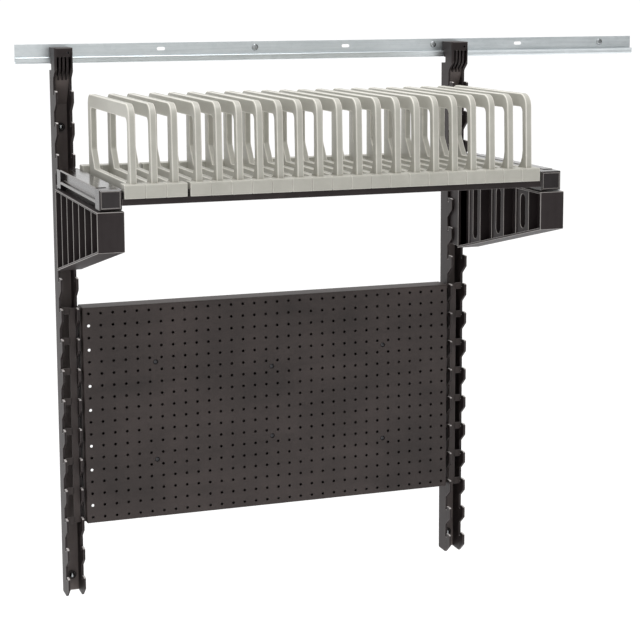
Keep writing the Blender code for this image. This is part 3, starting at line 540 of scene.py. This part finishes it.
# ------------------------------------------------------------------------------------------------------------
# Screws of the uprights. A small black-oxide set screw with a hexagon socket sits deep in each head and
# clamps it to the rail, and two domed screws hold each channel's web to the wall.
def black_oxide_finish():
    oxide = Finish("black_oxide")
    haze = oxide.noise(260.0, 3.0)
    oxide.set(Base_Color=oxide.blend(haze, (0.05, 0.05, 0.055, 1.0), (0.11, 0.11, 0.115, 1.0)))
    oxide.set(Metallic=0.9, Roughness=0.32 + 0.2 * haze)
    return oxide


black_oxide = black_oxide_finish()
for word, side in (("left", -1), ("right", 1)):
    shape = bmesh.new()
    add_turned(shape, (0.0, 0.0), [(-54.0, 1.8), (-53.6, 2.15), (-6.0, 2.15), (-5.3, 1.5)], 20)
    screw = temporary(shape)
    socket = bmesh.new()
    add_prism(socket, "Y", circle((0.0, 0.0), 1.25, 6), -60.0, -51.0)
    cut_by(screw, temporary(socket))
    whole_piece(f"set_screw_{word}", [finished(screw)], [black_oxide], f"lock_screw_{word}",
                [f"lock_screw_{word}"], (side * UPRIGHT_X + LOCK_X, 0.0, LOCK_Z))
    for place_word, z in zip(("upper", "lower"), WEB_SCREW_Z):
        shape = bmesh.new()
        dome = [(-11.6, 1.4), (-11.1, 3.0), (-9.9, 4.4), (-8.4, 5.2), (-4.4, 5.4), (-4.4, 2.6), (-0.5, 2.6)]
        add_turned(shape, (0.0, 0.0), dome, 24)
        whole_piece(f"web_screw_{word}_{place_word}", [finished(temporary(shape))], [zinc_plate], "uprights",
                    [], (side * UPRIGHT_X, 0.0, z))


# ------------------------------------------------------------------------------------------------------------
# Brackets. Each is a moulded cantilever with a centre web, a rim and cross ribs. On its inner side every
# second bay is a raised pad with a long slot. A plate at the back fits in the channel, and its bars rest in
# the notches of the lugs.
BRACKET_WIDTH = 50.0
BRACKET_TOP = -256.0
BRACKET_FRONT = -493.0
BRACKET_REAR = -93.0
BRACKET_RIB_PITCH = 57.2
BRACKET_SLOPE = 91.0 / 400.0
BRACKET_RIM = 4.0


def bracket_floor(y):
    return BRACKET_TOP - 74.0 - BRACKET_SLOPE * (y - BRACKET_FRONT)


def rib_pattern():
    """Cross ribs along a bracket, each as tall as the bracket is there."""
    inputs = [("Rear", "Vector"), ("Step", "Vector"), ("Count", "Int"), ("Width", "Float"),
              ("Thickness", "Float")]
    inputs += [("Rear Height", "Float"), ("Slope", "Float"), ("Finish", "Material")]
    work = Pattern("bracket_ribs", inputs)
    rear = work.input("Rear")
    line = work.node("GeometryNodeMeshLine", {"mode": "OFFSET", "count_mode": "TOTAL"}, {
        "Count": work.input("Count"), "Start Location": rear, "Offset": work.input("Step")})
    here = work.node("GeometryNodeInputPosition", {}, {})
    back = work.node("ShaderNodeVectorMath", {"operation": "SUBTRACT"}, {0: rear, 1: here})
    away = work.node("ShaderNodeSeparateXYZ", {}, {0: back}, "Y")
    height = work.input("Rear Height") - work.input("Slope") * away
    half_down = work.node("ShaderNodeCombineXYZ", {}, {"Z": -0.5 * height})
    line = work.node("GeometryNodeSetPosition", {}, {"Geometry": line, "Offset": half_down})
    size = work.node("ShaderNodeCombineXYZ", {}, {
        "X": work.input("Width"), "Y": work.input("Thickness"), "Z": height})
    cube = work.node("GeometryNodeMeshCube", {}, {"Size": (1.0, 1.0, 1.0)})
    ribs = work.node("GeometryNodeInstanceOnPoints", {}, {"Points": line, "Instance": cube, "Scale": size})
    both = work.tree.nodes.new("GeometryNodeJoinGeometry")
    work.tree.links.new(work.input("Piece").socket, both.inputs[0])
    work.tree.links.new(ribs.socket, both.inputs[0])
    work.end(Link(work, both.outputs[0]))
    return work


bracket_ribs = rib_pattern()
bracket_polymer = polymer_finish("bracket_polymer", (0.020, 0.015, 0.0155, 1.0), (0.034, 0.027, 0.0275, 1.0),
                                 0.42, 0.05, 0.22)
# A lighter copy of the bracket polymer for the bevels: a painted highlight along the rims and ribs.
bracket_edge_highlight = polymer_finish("bracket_polymer_edge", (0.28, 0.262, 0.25, 1.0), (0.40, 0.377, 0.362, 1.0),
                              0.34)
for word, side in (("left", -1), ("right", 1)):
    inner = side * (UPRIGHT_X - UPRIGHT_HALF)
    outer = inner + side * BRACKET_WIDTH
    low, high = min(inner, outer), max(inner, outer)
    middle = (low + high) / 2
    core = bmesh.new()
    outline = [(BRACKET_REAR, BRACKET_TOP - 1.0), (BRACKET_FRONT + 2.0, BRACKET_TOP - 1.0)]
    outline += [(BRACKET_FRONT + 2.0, bracket_floor(BRACKET_FRONT) + 1.0)]
    outline += [(BRACKET_REAR, bracket_floor(BRACKET_REAR) + 1.0)]
    add_prism(core, "X", outline, middle - 5.0, middle + 5.0)
    top_rim = [(BRACKET_REAR, BRACKET_TOP), (BRACKET_FRONT + 1.0, BRACKET_TOP)]
    top_rim += [(BRACKET_FRONT + 1.0, BRACKET_TOP - BRACKET_RIM), (BRACKET_REAR, BRACKET_TOP - BRACKET_RIM)]
    add_prism(core, "X", top_rim, low, high)
    floor_front = bracket_floor(BRACKET_FRONT)
    floor_rear = bracket_floor(BRACKET_REAR)
    low_rim = [(BRACKET_REAR, floor_rear), (BRACKET_FRONT + 1.0, floor_front),
               (BRACKET_FRONT + 1.0, floor_front + 4.5)]
    add_prism(core, "X", low_rim + [(BRACKET_REAR, floor_rear + 4.5)], low, high)
    add_box(core, (low, high), (BRACKET_FRONT, BRACKET_FRONT + BRACKET_RIM), (floor_front, BRACKET_TOP - 0.4))
    for bay in (1, 3, 5):
        y1 = BRACKET_REAR - bay * BRACKET_RIB_PITCH - 1.0
        y0 = y1 - BRACKET_RIB_PITCH + 2.0
        y = (y0 + y1) / 2
        top = BRACKET_TOP - 3.0
        pad = [(y1, top), (y0, top), (y0, bracket_floor(y0) + 3.0), (y1, bracket_floor(y1) + 3.0)]
        hole_low = bracket_floor(y) + 23.0
        hole_high = BRACKET_TOP - 23.0
        hole = arc((y, hole_high), 10.5, 0, 180, 10) + arc((y, hole_low), 10.5, 180, 360, 10)
        reach = sorted((middle - side * 4.0, middle - side * (BRACKET_WIDTH / 2 - 3.0)))
        add_prism(core, "X", pad, reach[0], reach[1], [hole])
    core = temporary(core)
    bracket_ribs.run(core, Rear=(middle * MM, (BRACKET_REAR - 1.5) * MM, (BRACKET_TOP - 0.4) * MM),
                     Step=(0.0, -BRACKET_RIB_PITCH * MM, 0.0), Count=7, Width=(BRACKET_WIDTH - 0.8) * MM,
                     Thickness=3.0 * MM, Rear_Height=(BRACKET_TOP - floor_rear - 1.6) * MM,
                     Slope=BRACKET_SLOPE, Finish=bracket_polymer.material)
    plate = bmesh.new()
    channel = side * UPRIGHT_X
    back = [(BRACKET_REAR - 3.0, BRACKET_TOP - 2.0), (BRACKET_REAR - 3.0, floor_rear + 2.0)]
    back += [(BRACKET_REAR + 14.0, BRACKET_TOP - 162.0), (-12.0, BRACKET_TOP - 163.0),
             (-10.0, BRACKET_TOP - 161.0)]
    back += [(-10.0, BRACKET_TOP - 8.0), (-16.0, BRACKET_TOP - 2.0)]
    add_prism(plate, "X", back, channel - 13.0, channel + 13.0)
    for k in (4, 5):
        z = FIRST_LUG_Z - k * LUG_PITCH - 8.7
        add_box(plate, (channel - 18.4, channel + 18.4), (-43.3, -38.3), (z, z + 8.2))
    whole_piece(f"bracket_{word}_moulding", [rounded(core, 0.9, 2, 30, 1),
                                             rounded(temporary(plate), 0.6, 2, 30, 1)],
                [bracket_polymer, bracket_edge_highlight], "brackets", [f"bracket_{word}"])


# ------------------------------------------------------------------------------------------------------------
# Shelf frame. Two grooved side beams and four end caps in glossy black, and a front and a rear beam in satin
# black. The mouldings are pushed together with hidden tenons, and the frame rests on the brackets.
gloss_polymer = polymer_finish("gloss_polymer", (0.012, 0.009, 0.007, 1.0), (0.022, 0.018, 0.015, 1.0), 0.06,
                               0.02, 0.6)
# A lighter copy of the gloss polymer for the bevels of beams and caps: a painted highlight along their edges.
gloss_edge_highlight = polymer_finish("gloss_polymer_edge", (0.18, 0.165, 0.155, 1.0), (0.27, 0.25, 0.24, 1.0), 0.24,
                            0.02)
SHELF_HALF = 457.2
BEAM_WIDTH = 41.5
CAP_TOP = -216.0
CAP_BOTTOM = -253.3

for word, side in (("left", -1), ("right", 1)):
    low, high = (corner[1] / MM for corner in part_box(f"side_beam_{word}"))
    edge = SHELF_HALF
    section = [(edge - 1.0, -214.8), (edge, -215.8), (edge, -217.8), (edge - 1.0, -218.6),
               (edge - 6.5, -219.2)]
    section += [(edge - 7.5, -220.4), (edge - 7.5, -235.5), (edge - 6.5, -237.0), (edge - 1.0, -238.0)]
    section += [(edge, -239.0), (edge, -243.0), (edge - 11.0, -243.0), (edge - 11.0, -255.7)]
    section += [(edge - BEAM_WIDTH + 5.0, -255.7), (edge - BEAM_WIDTH + 5.0, -243.0),
                (edge - BEAM_WIDTH, -243.0)]
    section += [(edge - BEAM_WIDTH, CAP_TOP), (edge - 20.8, CAP_TOP), (edge - 20.0, -214.8)]
    beam = bmesh.new()
    add_prism(beam, "Y", [(side * x, z) for x, z in section], low, high)
    whole_piece(f"side_beam_{word}_moulding", [rounded(temporary(beam), 0.4, 2, 30, 1)],
                [gloss_polymer, gloss_edge_highlight], "shelf_frame", [f"side_beam_{word}"])

cap_polymer = polymer_finish("cap_polymer", (0.012, 0.009, 0.010, 1.0), (0.024, 0.019, 0.020, 1.0), 0.12,
                             0.03, 0.4)
for word, side in (("left", -1), ("right", 1)):
    for end in ("front", "rear"):
        node = f"{end}_cap_{word}"
        low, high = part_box(node)
        outer = side * SHELF_HALF
        inner = outer - side * BEAM_WIDTH
        x0, x1 = min(outer, inner), max(outer, inner)
        y0 = low[1] / MM if end == "front" else high[1] / MM - 37.0
        y1 = y0 + 37.0
        face = y0 if end == "front" else y1
        inward = 1.0 if end == "front" else -1.0
        cap = bmesh.new()
        rings = []
        for inset, depth in ((4.2, 1.2), (3.4, 0.0), (2.8, 0.0), (0.0, 2.8), (0.0, 37.0)):
            level = (face + inward * depth) * MM
            corners = ((x0 + inset, CAP_BOTTOM + inset), (x1 - inset, CAP_BOTTOM + inset),
                       (x1 - inset, CAP_TOP - inset), (x0 + inset, CAP_TOP - inset))
            rings.append([cap.verts.new((x * MM, level, z * MM)) for x, z in corners])
        for front, back in zip(rings, rings[1:]):
            for i in range(4):
                cap.faces.new((front[i], front[i - 3], back[i - 3], back[i]))
        cap.faces.new(rings[0])
        cap.faces.new(rings[-1])
        bmesh.ops.recalc_face_normals(cap, faces=cap.faces)
        whole_piece(f"{node}_moulding", [rounded(temporary(cap), 0.3, 2, 30, 1)], [cap_polymer, gloss_edge_highlight],
                    "shelf_frame", [node])

for end in ("front", "rear"):
    low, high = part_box(f"{end}_beam")
    y0, y1 = low[1] / MM, high[1] / MM
    half = SHELF_HALF - BEAM_WIDTH - 0.3
    middle = (y0 + y1) / 2
    section = [(y0, -246.0), (y1, -246.0), (y1, -234.3), (middle + 4.5, -234.3), (middle + 4.5, -222.0)]
    section += [(middle - 4.5, -222.0), (middle - 4.5, -234.3), (y0, -234.3)]
    beam = bmesh.new()
    add_prism(beam, "X", section, -half, half)
    whole_piece(f"{end}_beam_moulding", [rounded(temporary(beam), 0.8, 2, 30, 1)],
                [black_polymer, edge_highlight_polymer], "shelf_frame", [f"{end}_beam"])


# ------------------------------------------------------------------------------------------------------------
# Hoop dividers. Each is one moulding in warm grey polymer: a closed hoop with well rounded edges, standing on
# a front and a rear block that straddle the upstand of the cross beams. All are alike, so one mesh is made
# and copied.
def hoop_finish(name, dark, light):
    """Warm grey polymer: soft satin sheen, slight cloudiness and a fine mould texture."""
    grey = Finish(name)
    cloud = grey.noise(9.0, 4.0)
    rub = grey.noise(45.0, 4.0, (1.0, 0.2, 1.0))
    texture = grey.noise(1100.0, 2.0)
    tone = grey.ramp(0.65 * cloud + 0.35 * rub, 0.34, 0.68)
    grey.set(Base_Color=grey.blend(tone, dark, light))
    grey.set(Roughness=0.34 + 0.12 * cloud + 0.06 * rub)
    grey.relief(texture + 0.4 * rub, 0.04 * MM, 0.3)
    return grey


hoop_polymer = hoop_finish("hoop_polymer", (0.40, 0.39, 0.345, 1.0), (0.48, 0.47, 0.42, 1.0))
# A lighter copy of the hoop polymer for the bevels of hoops and blocks: a painted highlight along their
# edges.
hoop_edge_highlight = hoop_finish("hoop_polymer_edge", (0.62, 0.605, 0.545, 1.0), (0.74, 0.72, 0.66, 1.0))
HOOP_COUNT = 21
HOOP_TOP = -65.5
BLOCK_TOP = -208.5
hoop_outer = [(-120.0, -230.0), (-478.0, -230.0), (-482.0, BLOCK_TOP), (-477.4, HOOP_TOP - 28.0)]
hoop_outer += arc((-451.0, HOOP_TOP - 26.5), 26.5, 172, 90, 12)
hoop_outer += arc((-141.0, HOOP_TOP - 21.0), 21.0, 90, 0, 10)
hoop_inner = arc((-153.0, -99.5), 8.0, 0, 90, 6) + arc((-449.0, -103.5), 12.0, 90, 176, 8)
hoop_inner += [(-464.0, -176.0), (-461.6, -188.0), (-456.0, -199.0), (-448.0, -206.5), (-440.0, -209.6)]
hoop_inner += [(-174.0, -210.0), (-171.0, -208.6), (-146.2, -174.0), (-145.0, -170.0)]
ring = bmesh.new()
add_prism(ring, "X", hoop_outer, -6.2, 6.2, [hoop_inner])
ring = rounded(temporary(ring), 1.9, 3, 40, 1)
blocks = bmesh.new()
for y0, lead in ((-492.0, 3.0), (-124.0, 1.2)):
    y1 = y0 + 34.0
    block = [(y0, -234.0), (y0 + 8.0, -234.0), (y0 + 8.0, -222.0), (y0 + 26.0, -222.0), (y0 + 26.0, -234.0),
             (y1, -234.0)]
    block += [(y1, BLOCK_TOP - 1.0), (y1 - 1.0, BLOCK_TOP), (y0 + lead, BLOCK_TOP),
              (y0 + 0.3 * lead, BLOCK_TOP - 0.35 * lead)]
    block += [(y0, BLOCK_TOP - lead)]
    add_prism(blocks, "X", block, -19.25, 19.25)
blocks = rounded(temporary(blocks), 0.8, 2, 40, 1)
for i in range(HOOP_COUNT):
    node = f"hoop_{i + 1:02d}"
    low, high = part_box(node)
    center = (low[0] + high[0]) / 2 / MM
    whole_piece(f"divider_{i + 1:02d}", [ring, blocks], [hoop_polymer, hoop_edge_highlight], node, [node],
                (center, 0.0, 0.0))


# ------------------------------------------------------------------------------------------------------------
# Perforated panel. A tray of thin black sheet with rounded folds, perforated all over on a 25.4 mm grid, with
# six larger holes that hold dark screws. A dark sheet behind the tray keeps the perforations dark, except at
# windows along its left side.
def powder_finish():
    """Matt black powder coat: fine orange peel, and slight cloudiness that follows the sheet."""
    coat = Finish("powder_coat")
    coat.surface.inputs["Specular IOR Level"].default_value = 0.3
    cloud = coat.noise(7.0, 5.0)
    fleck = coat.noise(320.0, 2.0)
    brushed = coat.noise(26.0, 5.0, (0.25, 1.0, 1.0))
    tone = coat.ramp(0.5 * cloud + 0.2 * fleck + 0.3 * brushed, 0.36, 0.64)
    coat.set(Base_Color=coat.blend(tone, (0.032, 0.025, 0.0235, 1.0), (0.060, 0.047, 0.044, 1.0)))
    coat.set(Roughness=0.42 + 0.16 * fleck + 0.10 * cloud)
    coat.relief(fleck + 0.4 * brushed, 0.08 * MM, 0.5)
    return coat


powder_coat = powder_finish()
# A lighter copy of the black coat for the bevels of the hanger combs: a painted highlight along their edges.
powder_edge_highlight = polymer_finish("powder_coat_fold", (0.075, 0.068, 0.066, 1.0), (0.12, 0.112, 0.108, 1.0), 0.36)
PERFORATION_PITCH = 25.4
PANEL_SHEET = 1.6
PANEL_SCREW_GROUPS = ((2, 254.0, 104.6), (1, 0.0, 76.2))
PANEL_FIRST_LUG = 7
panel_low, panel_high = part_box("peg_panel")
x0, y0, z0 = (value / MM for value in panel_low)
x1, y1, z1 = (value / MM for value in panel_high)
middle_z = (z0 + z1) / 2


def round_box(x, z, radius):
    corners = ((x[1], z[1], -1, -1, 0), (x[0], z[1], 1, -1, 90), (x[0], z[0], 1, 1, 180),
               (x[1], z[0], -1, 1, 270))
    points = []
    for u, v, du, dv, start in corners:
        points += arc((u + du * radius, v + dv * radius), radius, start, start + 90, 4)
    return points


tray = bmesh.new()
sections = [(2.4, y0), (0.9, y0 + 0.7), (0.0, y0 + 2.4), (0.0, y1)]
rings = []
for inset, level in sections:
    outline = round_box((x0 + inset, x1 - inset), (z0 + inset, z1 - inset), 2.4)
    rings.append([tray.verts.new((u * MM, level * MM, v * MM)) for u, v in outline])
inner_sections = [(inset + PANEL_SHEET, level + PANEL_SHEET) for inset, level in sections[2::-1]]
for inset, level in [(PANEL_SHEET, y1)] + inner_sections:
    outline = round_box((x0 + inset, x1 - inset), (z0 + inset, z1 - inset), 1.6)
    rings.append([tray.verts.new((u * MM, level * MM, v * MM)) for u, v in outline])
for front, back in zip(rings, rings[1:]):
    for i in range(len(front)):
        j = (i + 1) % len(front)
        tray.faces.new((front[i], front[j], back[j], back[i]))
tray.faces.new(rings[0])
tray.faces.new(rings[-1])
bmesh.ops.recalc_face_normals(tray, faces=tray.faces)
panel = temporary(tray)

shape = bmesh.new()
add_prism(shape, "Y", circle((0.0, 0.0), 3.1, 12), -3.0, 5.0)
punch = temporary(shape)
cut_grid.run(panel, Part=punch, Start=(-15.5 * PERFORATION_PITCH * MM, y0 * MM,
                                       (middle_z - 8.5 * PERFORATION_PITCH) * MM),
             Columns=32, Column_Step=(PERFORATION_PITCH * MM, 0.0, 0.0), Rows=18,
             Row_Step=(0.0, 0.0, PERFORATION_PITCH * MM), Finish=powder_coat.material)
bpy.data.objects.remove(punch, do_unlink=True)
shape = bmesh.new()
add_prism(shape, "Y", circle((0.0, 0.0), 5.2, 24), -3.0, 5.0)
punch = temporary(shape)
for columns, reach, drop in PANEL_SCREW_GROUPS:
    cut_grid.run(panel, Part=punch, Start=(-reach * MM, y0 * MM, (middle_z - drop) * MM), Columns=columns,
                 Column_Step=(2 * reach * MM, 0.0, 0.0), Rows=2, Row_Step=(0.0, 0.0, 2 * drop * MM),
                 Finish=powder_coat.material)
bpy.data.objects.remove(punch, do_unlink=True)
whole_piece("perforated_panel", [painted(finished(panel))], [powder_coat], "panel", ["peg_panel"])

# A dark sheet behind the tray darkens the perforations; windows along its left side let light through.
back_low, back_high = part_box("panel_back")
shape = bmesh.new()
add_box(shape, (back_low[0] / MM, back_high[0] / MM), (back_low[1] / MM, back_high[1] / MM),
        (back_low[2] / MM, back_high[2] / MM))
sheet = temporary(shape)
shape = bmesh.new()
add_box(shape, (-10.0, 10.0), (-5.0, 5.0), (-13.0, 13.0))
punch = temporary(shape)
window_x = back_low[0] + 13.0 * MM
cut_grid.run(sheet, Part=punch, Start=(window_x, back_low[1],
                                       (FIRST_LUG_Z - PANEL_FIRST_LUG * LUG_PITCH - 41.0) * MM), Columns=1,
             Rows=7, Row_Step=(0.0, 0.0, -LUG_PITCH * MM), Finish=powder_coat.material)
bpy.data.objects.remove(punch, do_unlink=True)
whole_piece("panel_back_sheet", [rounded(sheet, 0.3, 1, 30)], [powder_coat], "panel", ["panel_back"])

screw = cross_screw([(y0 + 0.9, 1.6), (y0 + 1.1, 3.2), (y0 + 1.9, 4.4), (y0 + 3.0, 4.9), (y0 + 4.4, 4.9),
                     (y0 + 4.4, 2.2), (y0 + 16.0, 2.2)], 4.4, 1.0, 1.6)
screws = temporary(bmesh.new())
for columns, reach, drop in PANEL_SCREW_GROUPS:
    add_grid.run(screws, Part=screw, Start=(-reach * MM, 0.0, (middle_z - drop) * MM), Columns=columns,
                 Column_Step=(2 * reach * MM, 0.0, 0.0), Rows=2, Row_Step=(0.0, 0.0, 2 * drop * MM),
                 Finish=black_oxide.material)
bpy.data.objects.remove(screw, do_unlink=True)
whole_piece("panel_screws", [painted(finished(screws))], [black_oxide], "panel", [])


# ------------------------------------------------------------------------------------------------------------
# Panel hangers. A comb of bars in each channel hooks on the lugs, and a leg along the panel's side is riveted
# to it.
for word, side in (("left", -1), ("right", 1)):
    def across(a, b):
        return tuple(sorted((side * a, side * b)))

    low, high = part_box(f"panel_hanger_{word}")
    bottom, top = low[2] / MM, high[2] / MM
    front = low[1] / MM
    hanger = bmesh.new()
    add_box(hanger, across(418.4, 432.0), (front, front + 3.0), (bottom, top))
    add_box(hanger, across(406.7, 409.7), (front, front + 24.0), (bottom, top - 1.0))
    comb = temporary(hanger)
    rung = bmesh.new()
    add_box(rung, across(430.0, 445.2), (front, front + 3.0), (-13.0, 1.7))
    add_box(rung, across(408.5, 420.0), (front, front + 3.0), (-8.7, -0.3))
    rung = temporary(rung)
    add_grid.run(comb, Part=rung, Start=(0.0, 0.0, (FIRST_LUG_Z - PANEL_FIRST_LUG * LUG_PITCH) * MM),
                 Columns=1, Rows=8, Row_Step=(0.0, 0.0, -LUG_PITCH * MM), Finish=powder_coat.material)
    bpy.data.objects.remove(rung, do_unlink=True)
    whole_piece(f"panel_hanger_{word}_comb", [rounded(comb, 0.5, 2, 30, 1)], [powder_coat, powder_edge_highlight],
                "panel", [f"panel_hanger_{word}"])

for word, side in (("left", -1), ("right", 1)):
    for place_word in ("upper", "lower"):
        node = f"rivet_{word}_{place_word}"
        low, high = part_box(node)
        at = ((low[1] + high[1]) / 2 / MM, (low[2] + high[2]) / 2 / MM)
        rivet = bmesh.new()
        add_prism(rivet, "X", circle(at, 2.4), low[0] / MM + 0.8, high[0] / MM - 0.8)
        for a, b in ((low[0] / MM, low[0] / MM + 1.5), (high[0] / MM - 1.5, high[0] / MM)):
            add_prism(rivet, "X", circle(at, 4.2), a, b)
        whole_piece(f"{node}_pin", [rounded(temporary(rivet), 0.5, 3, 30)], [black_oxide], "panel", [node])


# ------------------------------------------------------------------------------------------------------------
# Studio. A pale floor well below the unit, a surround that is darker in front and to the right, and one wide
# soft light above.
def plain_finish(name, color):
    plain = Finish(name)
    plain.set(Base_Color=color, Roughness=0.9)
    return plain


shape = bmesh.new()
add_box(shape, (-9000.0, 9000.0), (-9000.0, 9000.0), (-1640.0, -1600.0))
floor = temporary(shape)
floor.name = "studio_floor"
floor.data.materials.append(plain_finish("pale_floor", (0.93, 0.93, 0.93, 1.0)).material)

world = bpy.data.worlds.new("white_surround")
world.use_nodes = True
bpy.context.scene.world = world
sky = NodeWork(world.node_tree)
toward = sky.node("ShaderNodeTexCoord", {}, {}, "Generated")
right, back, up = (sky.node("ShaderNodeSeparateXYZ", {}, {"Vector": toward}, axis) for axis in "XYZ")


def fade(value, start, end, low, high):
    """A smooth change of brightness from low to high as value goes from start to end."""
    return sky.node("ShaderNodeMapRange", {"interpolation_type": "SMOOTHSTEP"}, {
        "Value": value, "From Min": start, "From Max": end, "To Min": low, "To Max": high})


front_wall = fade(right, 0.35, 0.45, 0.80, 0.24)
overhead = fade(up, 0.30, 0.95, 0.0, 0.75) * fade(right, 0.25, 0.45, 1.0, 0.2)
glow = front_wall + fade(back, -0.15, 0.40, 0.0, 1.0) * (1.02 - front_wall) + overhead
seen = sky.node("ShaderNodeLightPath", {}, {}, "Is Camera Ray")
sky.feed(world.node_tree.nodes["Background"].inputs["Color"], (1.0, 1.0, 1.0, 1.0))
sky.feed(world.node_tree.nodes["Background"].inputs["Strength"], glow + seen * (1.05 - glow))


def soft_light(name, place_at, aim, size, watts):
    data = bpy.data.lights.new(name, "AREA")
    data.shape = "RECTANGLE"
    data.size, data.size_y = size
    data.energy = watts
    lamp = bpy.data.objects.new(name, data)
    lamp.location = place_at
    lamp.rotation_euler = (Vector(aim) - Vector(place_at)).to_track_quat("-Z", "Y").to_euler()
    bpy.context.scene.collection.objects.link(lamp)


soft_light("top_light", (0.1, -0.7, 2.1), (0.1, -0.3, -0.3), (1.0, 0.7), 18.0)

camera_data = bpy.data.cameras.new("camera")
camera_data.lens = 97.63
camera_data.shift_y = -0.12
camera_data.clip_end = 60.0
camera = bpy.data.objects.new("camera", camera_data)
camera.location = (-1.0955, -3.5193, 0.1365)
camera.rotation_euler = (radians(90.0 - 8.324), radians(0.243), radians(-19.225))
bpy.context.scene.collection.objects.link(camera)
bpy.context.scene.camera = camera
bpy.context.scene.view_settings.view_transform = "Standard"
